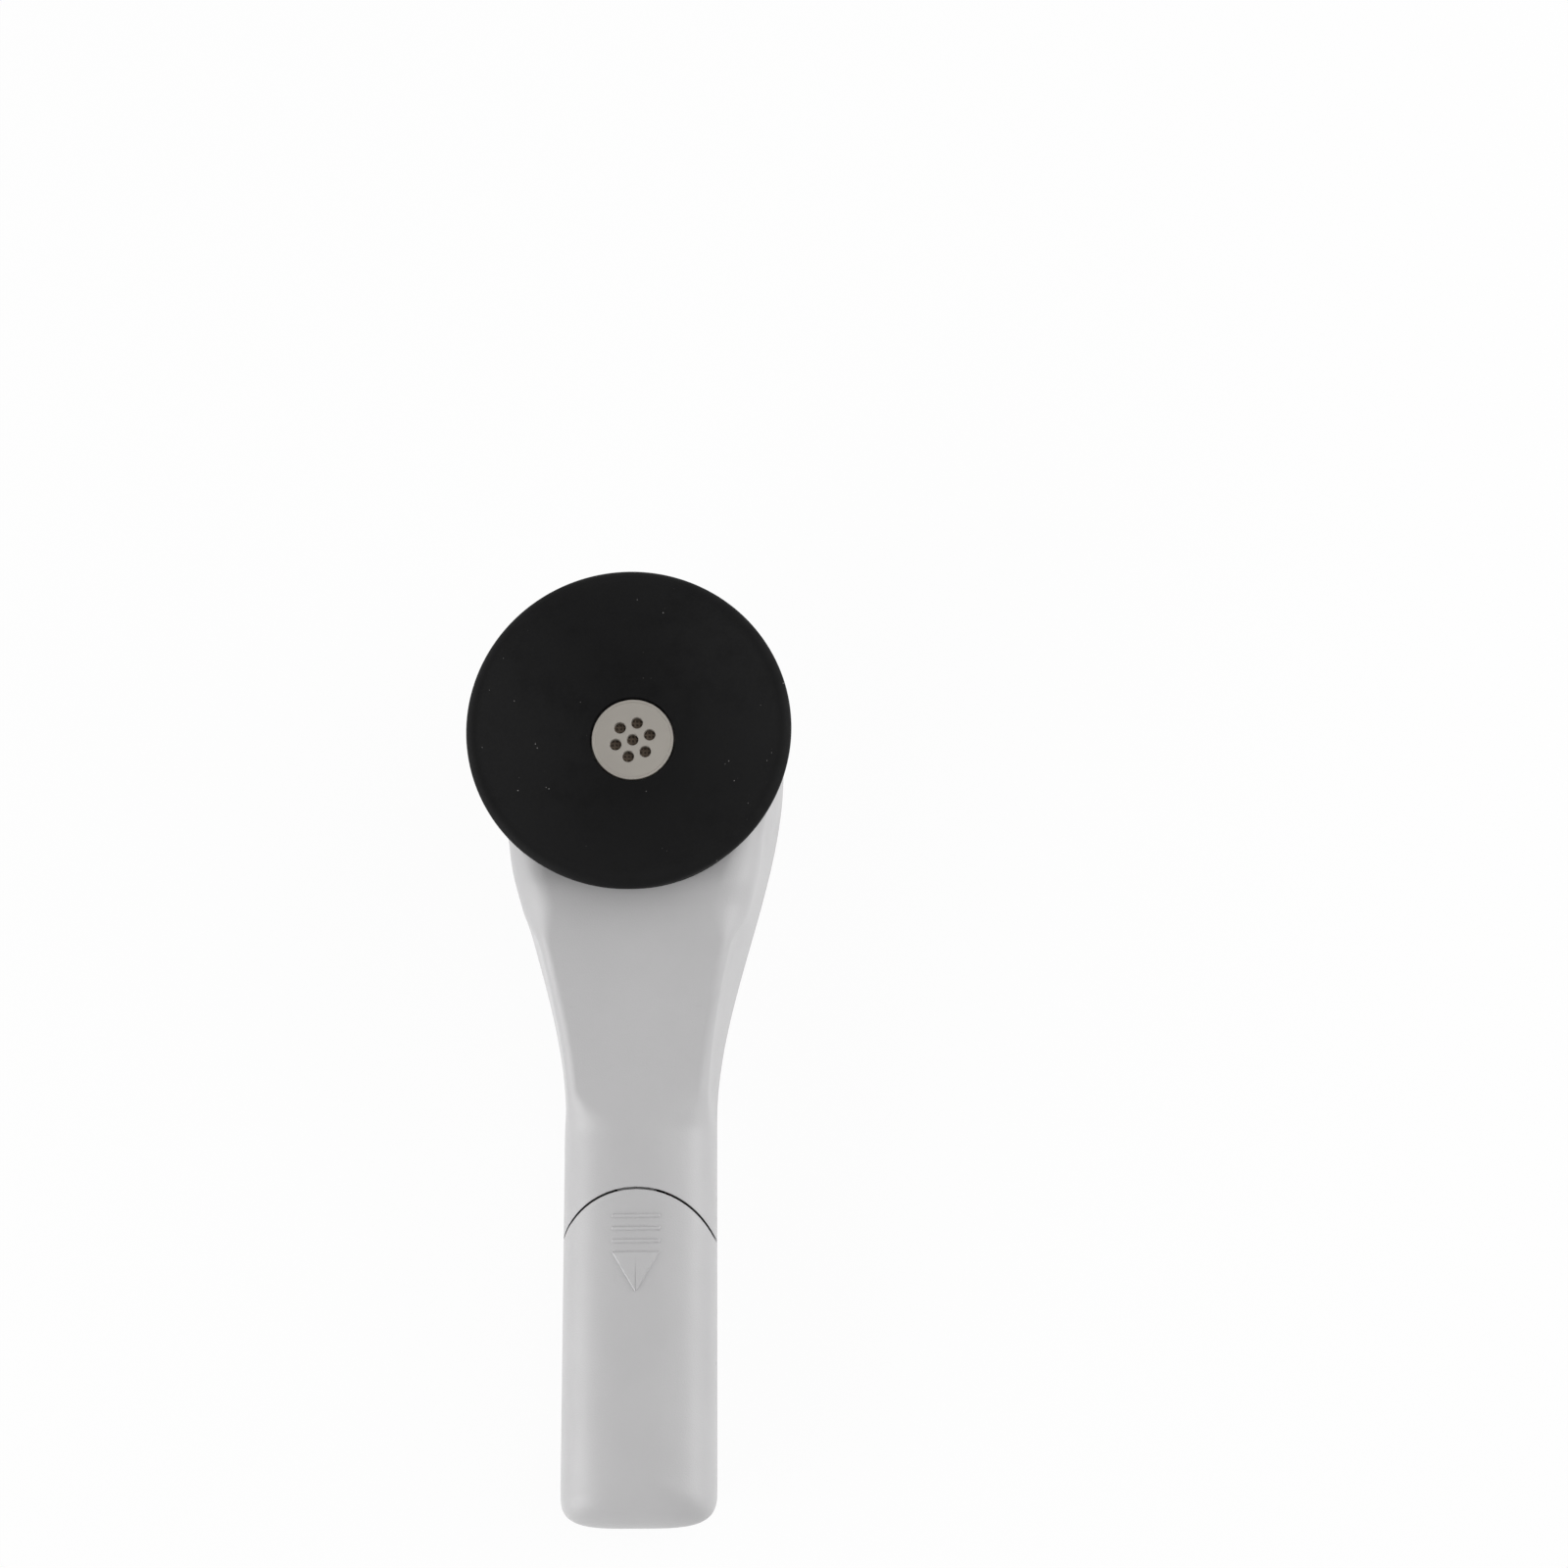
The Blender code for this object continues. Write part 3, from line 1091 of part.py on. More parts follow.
def make_driver(materials):
    centre = (0, HEAD_Y)
    cloth_radius = BOSS_RADIUS - BOSS_WALL - GAP
    cloth = (CLOTH_TOP - CLOTH_THICKNESS, CLOTH_TOP)
    cylinder("grille_cloth", centre, cloth_radius, *cloth, DRIVER_STEPS, materials["cloth"])
    gasket = [
        (GASKET_INNER_RADIUS, GASKET_BASE),
        (FRAME_RADIUS, GASKET_BASE),
        (FRAME_RADIUS, GASKET_TOP),
        (GASKET_INNER_RADIUS, GASKET_TOP),
    ]
    turned("driver_gasket", gasket, centre, DRIVER_STEPS, materials["foam"], closed=True)
    dome_base, crest = GASKET_BASE, GASKET_BASE + DIAPHRAGM_DOME
    coil_ring = COIL_RADIUS + COIL_WALL
    diaphragm = [
        (0, crest),
        (coil_ring, dome_base),
        (DIAPHRAGM_RADIUS, dome_base),
        (DIAPHRAGM_RADIUS, dome_base + DIAPHRAGM_THICKNESS),
        (coil_ring, dome_base + DIAPHRAGM_THICKNESS),
        (0, crest + DIAPHRAGM_THICKNESS),
    ]
    turned("driver_diaphragm", diaphragm, centre, DRIVER_STEPS, materials["film"])
    coil = [
        (COIL_RADIUS - COIL_WALL, COIL_TOP - COIL_HEIGHT),
        (COIL_RADIUS, COIL_TOP - COIL_HEIGHT),
        (COIL_RADIUS, COIL_TOP),
        (COIL_RADIUS - COIL_WALL, COIL_TOP),
    ]
    turned("voice_coil", coil, centre, DRIVER_STEPS, materials["copper"], closed=True)
    frame = [
        (FRAME_HOLE_RADIUS, FRAME_BASE),
        (FRAME_FLOOR_RADIUS, FRAME_BASE),
        (FRAME_THROAT_RADIUS, FRAME_UNDER_FLANGE),
        (FRAME_RADIUS, FRAME_UNDER_FLANGE),
        (FRAME_RADIUS, FRAME_TOP),
        (FRAME_THROAT_RADIUS - FRAME_WALL, FRAME_TOP),
        (FRAME_FLOOR_RADIUS - FRAME_WALL, FRAME_BASE + FRAME_WALL),
        (FRAME_HOLE_RADIUS, FRAME_BASE + FRAME_WALL),
    ]
    turned("driver_frame", frame, centre, DRIVER_STEPS, materials["frame"], closed=True)
    magnet = [
        (0, MAGNET_BASE),
        (MAGNET_RADIUS, MAGNET_BASE),
        (MAGNET_RADIUS, MAGNET_TOP),
        (POLE_RADIUS, MAGNET_TOP),
        (POLE_RADIUS, POLE_TOP),
        (0, POLE_TOP),
    ]
    turned("driver_magnet", magnet, centre, DRIVER_STEPS, materials["steel"])
    clamp = plate("driver_clamp", clamp_outline(), CLAMP_BASE, CLAMP_TOP, materials["steel"])
    low, high = CLAMP_BASE - OVERRUN, CLAMP_TOP + OVERRUN
    cut(clamp, cylinder("opening", centre, CLAMP_INNER_RADIUS, low, high, DRIVER_STEPS))
    length = CAP_BASE + CLAMP_SCREW_BITE - CLAMP_BASE + GAP
    sizes = (CLAMP_SCREW_HEAD_RADIUS, CLAMP_SCREW_HEAD_HEIGHT, CLAMP_SCREW_SHANK_RADIUS, length)
    for i, place in enumerate(clamp_screw_places()):
        cut(clamp, cylinder("bore", place, CLAMP_SCREW_SHANK_RADIUS + GAP, low, high))
        screw(f"driver_screw_{i + 1}", place, CLAMP_BASE - GAP, True, sizes, materials["steel"])
    return clamp


def make_cushion(material):
    """Silicone ear cushion: a ring with a round hole, a dished face, a full lip and a drawn-in waist."""
    hole_radius = BOSS_RADIUS + GAP
    hole_top = BOSS_TOP + CUSHION_HOLE_RISE
    base = CAP_TOP + GAP
    skirt_inner = CAP_RADIUS + GAP
    hole_corner = (hole_radius + CUSHION_HOLE_ROUNDING, hole_top - CUSHION_HOLE_ROUNDING)
    lip_centre = (CUSHION_RADIUS - CUSHION_LIP, CUSHION_TOP_HEIGHT - CUSHION_LIP)
    profile = [(hole_radius, base)]
    profile += arc(hole_corner, CUSHION_HOLE_ROUNDING, 180, 105, 3)
    start_radius, start_height = profile[-1]
    lip = arc(lip_centre, CUSHION_LIP, 105, -15, LIP_STEPS)
    end_radius, end_height = lip[0]
    for i in range(1, DISH_STEPS):
        share = i / DISH_STEPS
        bow = math.sin(math.pi * share) * CUSHION_HOLE_ROUNDING
        profile.append((start_radius + (end_radius - start_radius) * share,
                        start_height + (end_height - start_height) * share - bow))
    profile += lip
    profile += [
        (CUSHION_WAIST_RADIUS, CUSHION_WAIST_HEIGHT),
        (CUSHION_SKIRT_RADIUS, CAP_BASE + CUSHION_HOLE_ROUNDING),
        (CUSHION_SKIRT_RADIUS - CUSHION_HOLE_ROUNDING, CAP_BASE),
        (skirt_inner, CAP_BASE),
        (skirt_inner, base),
    ]
    cushion = turned("ear_cushion", profile, (0, HEAD_Y), CUSHION_STEPS, material, closed=True)
    return move_origin(cushion, (0, HEAD_Y, CAP_TOP))


def main():
    clear_scene()
    grey = make_material("shell_plastic", (0.52, 0.52, 0.53), 0.42)
    cream = make_material("cap_plastic", (0.68, 0.65, 0.61), 0.45)
    black_rubber = make_material("cushion_silicone", (0.012, 0.012, 0.013), 0.62)
    key_rubber = make_material("key_rubber", (0.08, 0.10, 0.13), 0.6)
    mat_rubber = make_material("mat_rubber", (0.25, 0.25, 0.26), 0.7)
    lens = make_material("window_lens", (0.75, 0.8, 0.8), 0.08, alpha=0.35)
    glass = make_material("display_glass", (0.32, 0.38, 0.32), 0.2)
    black_plastic = make_material("black_plastic", (0.02, 0.02, 0.02), 0.5)
    board = make_material("board_laminate", (0.02, 0.13, 0.05), 0.4)
    steel = make_material("plated_steel", (0.6, 0.6, 0.6), 0.3, metallic=1.0)
    brass = make_material("brass", (0.75, 0.6, 0.3), 0.3, metallic=1.0)
    copper = make_material("copper_wire", (0.72, 0.35, 0.18), 0.35, metallic=1.0)
    foam = make_material("foam", (0.05, 0.05, 0.05), 0.9)
    felt = make_material("felt", (0.22, 0.18, 0.16), 0.95)
    film = make_material("clear_film", (0.6, 0.6, 0.55), 0.3)
    jacket = make_material("battery_jacket", (0.08, 0.09, 0.11), 0.35)
    sleeve = make_material("capacitor_sleeve", (0.03, 0.04, 0.12), 0.3)
    white_nylon = make_material("white_nylon", (0.7, 0.69, 0.65), 0.5)
    red_wire = make_material("red_insulation", (0.5, 0.02, 0.02), 0.45)
    black_wire = make_material("black_insulation", (0.015, 0.015, 0.015), 0.45)

    make_front_shell(grey)
    make_rear_shell(grey)
    make_battery_cover(grey)
    make_cap(cream)
    make_cushion(black_rubber)
    make_driver(
        {"cloth": felt, "foam": foam, "film": film, "copper": copper, "frame": black_plastic, "steel": steel}
    )
    make_display(lens, glass, black_plastic, mat_rubber)
    make_board(board)
    make_board_parts(black_plastic, steel, sleeve, white_nylon)
    make_keypad_mat(mat_rubber)
    for name, centre, half_width, half_height in key_table():
        make_key(name, centre, half_width, half_height, key_rubber)
    make_battery(jacket, steel, black_plastic, foam)
    make_battery_leads(red_wire, black_wire)
    make_driver_leads(red_wire, black_wire)
    casing_sizes = (SCREW_HEAD_RADIUS, SCREW_HEAD_HEIGHT, SCREW_SHANK_RADIUS, SCREW_SHANK_LENGTH)
    for i, place in enumerate(casing_screw_places()):
        screw(f"housing_screw_{i + 1}", place, COUNTERBORE_DEPTH - GAP, True, casing_sizes, steel)
    board_sizes = (
        BOARD_SCREW_HEAD_RADIUS,
        BOARD_SCREW_HEAD_HEIGHT,
        BOARD_SCREW_SHANK_RADIUS,
        BOARD_SCREW_LENGTH,
    )
    for i, place in enumerate(board_screw_places()):
        screw(f"board_screw_{i + 1}", place, BOARD_TOP + GAP, False, board_sizes, steel)


main()
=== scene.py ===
import math

import bmesh
import bpy
from mathutils import Euler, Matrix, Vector


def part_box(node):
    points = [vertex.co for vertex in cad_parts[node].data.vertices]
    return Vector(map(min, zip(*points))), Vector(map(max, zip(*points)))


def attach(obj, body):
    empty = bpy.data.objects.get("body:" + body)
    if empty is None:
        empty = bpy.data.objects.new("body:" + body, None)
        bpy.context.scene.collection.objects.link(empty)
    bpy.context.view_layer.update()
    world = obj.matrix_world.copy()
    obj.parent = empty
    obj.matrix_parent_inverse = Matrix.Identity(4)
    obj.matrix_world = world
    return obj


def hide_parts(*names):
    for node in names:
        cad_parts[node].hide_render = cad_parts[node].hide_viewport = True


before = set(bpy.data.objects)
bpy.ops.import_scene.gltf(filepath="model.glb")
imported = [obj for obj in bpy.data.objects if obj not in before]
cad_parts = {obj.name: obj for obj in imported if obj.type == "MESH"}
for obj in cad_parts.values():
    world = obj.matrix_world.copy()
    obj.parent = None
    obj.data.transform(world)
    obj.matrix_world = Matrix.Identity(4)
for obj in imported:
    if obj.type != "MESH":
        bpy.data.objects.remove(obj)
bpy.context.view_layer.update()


def middleOf(node):
    low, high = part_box(node)
    return ((low.x + high.x) / 2, (low.y + high.y) / 2)


def halfSize(node):
    low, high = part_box(node)
    return ((high.x - low.x) / 2, (high.y - low.y) / 2)


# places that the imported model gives
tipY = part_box("rear_shell")[0].y
headY = middleOf("lcd_window")[1]
headMiddle = (0.0, headY)

weldDistance = 0.000002
sharpAngle = 35          # degrees from which an edge between two faces is drawn sharp
edgeAngle = 50           # the same on the casing, and for the edges that are rounded


# helpers for meshes
def smoothStep(value, start, end):
    share = min(1.0, max(0.0, (value - start) / (end - start)))
    return share * share * (3 - 2 * share)


def arcPoints(centre, radius, start, end, steps):
    turns = [math.radians(start + (end - start) * i / steps) for i in range(steps + 1)]
    return [(centre[0] + radius * math.cos(t), centre[1] + radius * math.sin(t)) for t in turns]


def circlePoints(centre, radius, steps):
    return arcPoints(centre, radius, 0, 360, steps)[:-1]


def rectangle(left, right, low, high):
    return [(left, low), (right, low), (right, high), (left, high)]


# a rectangle with round corners, or a stadium when corner equals halfHeight
def roundedBox(centre, halfWidth, halfHeight, corner, steps=8):
    x, y = centre
    w, h = halfWidth - corner, halfHeight - corner
    loop = []
    for i, (sideX, sideY) in enumerate(((1, 1), (-1, 1), (-1, -1), (1, -1))):
        loop += arcPoints((x + sideX * w, y + sideY * h), corner, 90 * i, 90 * i + 90, steps)
    return loop


# points of the curve that rounds off a corner, from start to end
def bentCorner(start, corner, end, steps):
    shares = [k / steps for k in range(steps + 1)]
    return [tuple(start * (1 - t) ** 2 + corner * 2 * t * (1 - t) + end * t**2) for t in shares]


# unit vector along a closed loop of (x, y) points at its point i
def directionAt(loop, i):
    before, after = loop[i - 1], loop[(i + 1) % len(loop)]
    return Vector((after[0] - before[0], after[1] - before[1])).normalized()


def shade(piece, angle):
    piece.data.shade_smooth()
    piece.data.set_sharp_from_angle(angle=math.radians(angle))


def weld(bm):
    bmesh.ops.remove_doubles(bm, verts=bm.verts, dist=weldDistance)
    bmesh.ops.dissolve_degenerate(bm, dist=weldDistance, edges=bm.edges)


def newObject(name, bm, angle=sharpAngle):
    weld(bm)
    bmesh.ops.recalc_face_normals(bm, faces=bm.faces)
    mesh = bpy.data.meshes.new(name)
    bm.to_mesh(mesh)
    bm.free()
    piece = bpy.data.objects.new(name, mesh)
    shade(piece, angle)
    bpy.context.scene.collection.objects.link(piece)
    return piece


# joins neighbouring loops of as many verts by faces, and the last one to the first where asked
def joinRings(bm, rings, closed=False):
    for lower, upper in zip(rings, rings[1:] + rings[:closed]):
        for i in range(len(lower)):
            j = (i + 1) % len(lower)
            corners = list(dict.fromkeys((lower[i], lower[j], upper[j], upper[i])))
            if len(corners) > 2:
                bm.faces.new(corners)


# adds a closed solid through loops of (x, y, z) points to a mesh in the making
def addStack(bm, loops):
    rings = [[bm.verts.new(point) for point in loop] for loop in loops]
    joinRings(bm, rings)
    bm.faces.new(list(reversed(rings[0])))
    bm.faces.new(rings[-1])


# levels are (height, growth) pairs, outline(growth) gives the (x, y) loop
def addLevels(bm, outline, levels):
    addStack(bm, [[(x, y, z) for x, y in outline(growth)] for z, growth in levels])


def addPrism(bm, loop, low, high):
    addLevels(bm, lambda growth: loop, [(low, 0), (high, 0)])


# a box between two corners, with every edge chamfered
def addBlock(bm, low, high, chamfer=0.0002):
    (x0, y0, z0), (x1, y1, z1) = low, high

    def ring(z, inset):
        a, b, c, d = x0 + inset, x1 - inset, y0 + inset, y1 - inset
        return [(a + chamfer, c, z), (b - chamfer, c, z), (b, c + chamfer, z), (b, d - chamfer, z),
                (b - chamfer, d, z), (a + chamfer, d, z), (a, d - chamfer, z), (a, c + chamfer, z)]

    addStack(bm, [ring(z0, chamfer), ring(z0 + chamfer, 0), ring(z1 - chamfer, 0), ring(z1, chamfer)])


# a (radius, height) profile turned about the vertical axis through centre
def addTurned(bm, profile, centre, steps, closed=False):
    rings = []
    for radius, z in profile:
        if radius < weldDistance:
            rings.append([bm.verts.new((*centre, z))] * steps)
        else:
            rings.append([bm.verts.new((x, y, z)) for x, y in circlePoints(centre, radius, steps)])
    joinRings(bm, rings, closed)


# a plain rod, with a chamfer at the end that names one
def addRod(bm, radius, low, high, centre, steps, lowChamfer=0.0, highChamfer=0.0):
    profile = [(0, low), (radius - lowChamfer, low), (radius, low + lowChamfer),
               (radius, high - highChamfer), (radius - highChamfer, high), (0, high)]
    addTurned(bm, list(dict.fromkeys(profile)), centre, steps)


def combine(target, bm, operation):
    tool = newObject("tool", bm)
    modifier = target.modifiers.new("work", "BOOLEAN")
    modifier.operation, modifier.object, modifier.solver = operation, tool, "EXACT"
    made = bmesh.new()
    made.from_object(target, bpy.context.evaluated_depsgraph_get())
    target.modifiers.clear()
    weld(made)
    made.to_mesh(target.data)
    made.free()
    bpy.data.objects.remove(tool, do_unlink=True)
    shade(target, sharpAngle)


# rounds every edge that is sharper than edgeAngle
def roundEdges(piece, width, segments=3):
    bm = bmesh.new()
    bm.from_mesh(piece.data)
    sharp = [e for e in bm.edges if e.is_manifold and e.calc_face_angle() > math.radians(edgeAngle)]
    bmesh.ops.bevel(bm, geom=sharp, offset=width, segments=segments, profile=0.5,
                    affect="EDGES", clamp_overlap=True)
    bm.to_mesh(piece.data)
    bm.free()
    shade(piece, edgeAngle)


def evenShading(piece):
    modifier = piece.modifiers.new("evenShading", "WEIGHTED_NORMAL")
    modifier.keep_sharp = True
    modifier.weight = 60


def dress(piece, material, body, slotName, *nodes):
    piece.data.materials.clear()
    piece.data.materials.append(material)
    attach(piece, body)
    if nodes:
        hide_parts(*nodes)
    return piece


# helpers for nodes: a value is a number, a colour or another node's socket, and
# an input's name is written with underscores
def feed(tree, socket, value):
    if isinstance(value, bpy.types.NodeSocket):
        tree.links.new(value, socket)
    elif isinstance(value, tuple):
        socket.default_value = (*value, 1.0)
    else:
        socket.default_value = value


def fill(tree, node, **values):
    for label, value in values.items():
        feed(tree, node.inputs[label.replace("_", " ")], value)
    return node


def makeNode(tree, kind, **values):
    return fill(tree, tree.nodes.new(f"ShaderNode{kind}"), **values)


def mathNode(tree, operation, *values, clamp=False):
    node = makeNode(tree, "Math")
    node.operation, node.use_clamp = operation, clamp
    for socket, value in zip(node.inputs, values):
        feed(tree, socket, value)
    return node.outputs[0]


def multiply(tree, a, b):
    return mathNode(tree, "MULTIPLY", a, b)


def noiseNode(tree, place, scale, detail, roughness):
    node = makeNode(tree, "TexNoise", Vector=place, Scale=scale, Detail=detail, Roughness=roughness)
    return node.outputs["Fac"]


def rampNode(tree, value, low, high):
    node = makeNode(tree, "MapRange", Value=value, From_Min=low, From_Max=high)
    node.interpolation_type = "SMOOTHSTEP"
    return node.outputs["Result"]


def spread(tree, share, low, high):
    return makeNode(tree, "MapRange", Value=share, To_Min=low, To_Max=high).outputs["Result"]


def bumpNode(tree, height, distance, **more):
    return makeNode(tree, "Bump", Height=height, Distance=distance, Strength=1.0, **more).outputs["Normal"]


def mixColour(tree, share, a, b):
    node = makeNode(tree, "Mix")
    node.data_type = "RGBA"
    for index, value in ((0, share), (6, a), (7, b)):
        feed(tree, node.inputs[index], value)
    return node.outputs[2]


def objectPlace(tree):
    return makeNode(tree, "TexCoord").outputs["Object"]


# node groups: startGroup gives the tree, its inputs and the place, closeGroup makes the outputs
def startGroup(name, **inputs):
    group = bpy.data.node_groups.new(name, "ShaderNodeTree")
    for label, value in inputs.items():
        label = label.replace("_", " ")
        socket = group.interface.new_socket(label, in_out="INPUT", socket_type="NodeSocketFloat")
        socket.default_value = value
    return group, group.nodes.new("NodeGroupInput").outputs, objectPlace(group)


def closeGroup(group, **results):
    for label in results:
        group.interface.new_socket(label, in_out="OUTPUT", socket_type="NodeSocketFloat")
    fill(group, group.nodes.new("NodeGroupOutput"), **results)
    return group


# fine moulded grain: height for the bump, mask for the gloss
def makeGrainGroup():
    group, given, place = startGroup("mouldedGrain", Scale=2200.0)
    finerScale = multiply(group, given["Scale"], 2.7)
    coarse = noiseNode(group, place, given["Scale"], detail=2.0, roughness=0.6)
    finer = noiseNode(group, place, finerScale, detail=2.0, roughness=0.6)
    height = mathNode(group, "ADD", coarse, multiply(group, finer, 0.5))
    return closeGroup(group, Height=height, Mask=rampNode(group, coarse, low=0.35, high=0.65))


# broad, soft variation from handling and from the mould
def makeHandlingGroup():
    group, given, place = startGroup("handling", Scale=60.0)
    streakScale = multiply(group, given["Scale"], 3.3)
    broad = noiseNode(group, place, given["Scale"], detail=4.0, roughness=0.5)
    streaks = noiseNode(group, place, streakScale, detail=5.0, roughness=0.65)
    touched = rampNode(group, broad, low=0.35, high=0.6)
    smudge = multiply(group, rampNode(group, streaks, low=0.4, high=0.7), touched)
    return closeGroup(group, Tone=rampNode(group, broad, low=0.3, high=0.7), Smudge=smudge)


# small pale specks of dust and lint
def makeDustGroup():
    group, given, place = startGroup("dustSpecks", Scale=900.0, Amount=0.3)
    patchScale = multiply(group, given["Scale"], 0.35)
    cells = makeNode(group, "TexVoronoi", Vector=place, Scale=given["Scale"])
    speck = rampNode(group, cells.outputs["Distance"], low=0.16, high=0.05)
    where = noiseNode(group, place, patchScale, detail=2.0, roughness=0.5)
    edge = mathNode(group, "SUBTRACT", 0.8, multiply(group, given["Amount"], 0.3))
    chosen = rampNode(group, where, low=edge, high=mathNode(group, "ADD", edge, 0.05))
    return closeGroup(group, Mask=multiply(group, speck, chosen))


# rubbed edges, from the curvature of the mesh
def makeWearGroup():
    group, given, place = startGroup("edgeWear", Strength=0.5)
    point = makeNode(group, "NewGeometry").outputs["Pointiness"]
    noise = noiseNode(group, place, 700.0, detail=4.0, roughness=0.7)
    broken = rampNode(group, noise, low=0.35, high=0.6)
    mask = multiply(group, rampNode(group, point, low=0.53, high=0.6), broken)
    return closeGroup(group, Mask=multiply(group, mask, given["Strength"]))


# two crossing threads, for the cloth behind the sound holes; the mask paints the raised threads lighter and
# the gaps darker, which is painted shade between the threads
def makeWeaveAndShadeGroup():
    group, given, place = startGroup("weaveAndPaintedShade", Scale=1.0)
    heights = []
    for direction in ("X", "Y"):
        wave = makeNode(group, "TexWave", Vector=place, Scale=given["Scale"],
                        Distortion=1.2, Detail=2.0, Detail_Scale=3.0)
        wave.bands_direction = direction
        heights.append(wave.outputs["Fac"])
    height = mathNode(group, "MAXIMUM", *heights)
    return closeGroup(group, Height=height, Mask=rampNode(group, height, low=0.3, high=0.9))


# fine parallel lines along one direction, as left by drawing, rolling or winding
def makeLinesGroup():
    group, given, place = startGroup("drawnLines", Scale_X=100.0, Scale_Y=100.0, Scale_Z=100.0)
    scale = makeNode(group, "CombineXYZ", **{axis: given[f"Scale {axis}"] for axis in "XYZ"})
    stretched = makeNode(group, "VectorMath")
    stretched.operation = "MULTIPLY"
    for socket, value in zip(stretched.inputs, (place, scale.outputs[0])):
        feed(group, socket, value)
    lines = noiseNode(group, stretched.outputs[0], 1.0, detail=4.0, roughness=0.7)
    return closeGroup(group, Height=lines, Mask=rampNode(group, lines, low=0.35, high=0.65))


# open cells of foam; the mask paints the cell walls lighter and the pits darker, which is painted shade in
# the pits
def makePoresAndShadeGroup():
    group, given, place = startGroup("poresAndPaintedShade", Scale=1500.0)
    cells = makeNode(group, "TexVoronoi", Vector=place, Scale=given["Scale"])
    wall = rampNode(group, cells.outputs["Distance"], low=0.1, high=0.6)
    return closeGroup(group, Height=wall, Mask=wall)


# copper tracks under green lacquer, with round pads
def makeTracksGroup():
    group, given, place = startGroup("tracks", Scale=240.0)
    bricks = makeNode(group, "TexBrick", Vector=place, Scale=given["Scale"],
                      Mortar_Size=0.06, Mortar_Smooth=0.2)
    pads = makeNode(group, "TexVoronoi", Vector=place, Scale=given["Scale"])
    pad = rampNode(group, pads.outputs["Distance"], low=0.16, high=0.12)
    track = mathNode(group, "MAXIMUM", bricks.outputs["Fac"], pad)
    return closeGroup(group, Height=track, Mask=pad)


groups = {
    "weaveAndPaintedShade": makeWeaveAndShadeGroup(),
    "lines": makeLinesGroup(),
    "poresAndPaintedShade": makePoresAndShadeGroup(),
    "tracks": makeTracksGroup(),
    "grain": makeGrainGroup(),
    "handling": makeHandlingGroup(),
    "dust": makeDustGroup(),
    "wear": makeWearGroup(),
}


def placeGroup(tree, name, **values):
    node = makeNode(tree, "Group")
    node.node_tree = groups[name]
    return fill(tree, node, **values).outputs


def newMaterial(name):
    material = bpy.data.materials.new(name)
    material.use_nodes = True
    return material, material.node_tree, material.node_tree.nodes["Principled BSDF"]


# what a surface has where its own dictionary doesn't say otherwise; worn is then its colour
plainLook = {
    "toneScale": 60.0,
    "dustScale": 900.0,
    "dust": 0.3,
    "dustColour": (0.6, 0.58, 0.55),
    "wear": 0.4,
    "grainGloss": 0.04,         # how much rougher the grain's tops are
}


# a moulded, cast or sprayed surface: two tones, grain as (scale, height), handling, dust and rubbed edges
# look["pattern"] may name one more group, as (group, its values, colour, height); on cloth threads and foam
# cells that colour paints shade into the hollows
# keys with a capital letter are the shader's own inputs
def makeSurface(name, look):
    look = {**plainLook, "worn": look["colour"], **look}
    material, tree, shader = newMaterial(name)
    grain = placeGroup(tree, "grain", Scale=look["grain"][0])
    handling = placeGroup(tree, "handling", Scale=look["toneScale"])
    dust = placeGroup(tree, "dust", Scale=look["dustScale"], Amount=look["dust"])
    wear = placeGroup(tree, "wear", Strength=look["wear"])
    colour = mixColour(tree, handling["Tone"], look["colour"], look["shade"])
    normal = bumpNode(tree, grain["Height"], look["grain"][1])
    if "pattern" in look:
        patternName, values, patternOrShadeColour, height = look["pattern"]
        pattern = placeGroup(tree, patternName, **values)
        # for cloth threads and foam cells this mix is painted shade in the hollows; for the others it is a
        # real pattern
        colour = mixColour(tree, pattern["Mask"], colour, patternOrShadeColour)
        normal = bumpNode(tree, pattern["Height"], height, Normal=normal)
    colour = mixColour(tree, wear["Mask"], colour, look["worn"])
    colour = mixColour(tree, dust["Mask"], colour, look["dustColour"])
    smudged = spread(tree, handling["Smudge"], *look["roughness"])
    grainy = multiply(tree, grain["Mask"], look["grainGloss"])
    rough = mathNode(tree, "ADD", smudged, grainy, clamp=True)
    fill(tree, shader, Base_Color=colour, Roughness=rough, Normal=normal)
    fill(tree, shader, **{label: value for label, value in look.items() if label[0].isupper()})
    return material


satinGrey = makeSurface("satinGreyPlastic", {
    "colour": (0.480, 0.477, 0.482), "shade": (0.464, 0.461, 0.466), "roughness": (0.36, 0.44),
    "grain": (3200.0, 0.00003), "dust": 0.1, "dustScale": 700.0,
    "wear": 0.3, "worn": (0.55, 0.55, 0.55), "dustColour": (0.62, 0.61, 0.6),
})
matteSilicone = makeSurface("matteBlackSilicone", {
    "colour": (0.0048, 0.0048, 0.005), "shade": (0.004, 0.004, 0.0042), "roughness": (0.62, 0.72),
    "grain": (1500.0, 0.00002), "dust": 0.5, "dustScale": 1100.0,
    "wear": 0.1, "worn": (0.02, 0.02, 0.02), "dustColour": (0.35, 0.34, 0.33),
    "Specular IOR Level": 0.1,
})
creamPlastic = makeSurface("creamCapPlastic", {
    "colour": (0.40, 0.375, 0.335), "shade": (0.37, 0.345, 0.31), "roughness": (0.42, 0.5),
    "grain": (4200.0, 0.00002), "dust": 0.1,
    "wear": 0.2, "worn": (0.46, 0.44, 0.4),
})
keyRubber = makeSurface("keyRubber", {
    "colour": (0.07, 0.09, 0.12), "shade": (0.055, 0.075, 0.105), "roughness": (0.5, 0.62),
    "grain": (4000.0, 0.00002), "dust": 0.4,
    "worn": (0.12, 0.14, 0.17),
})
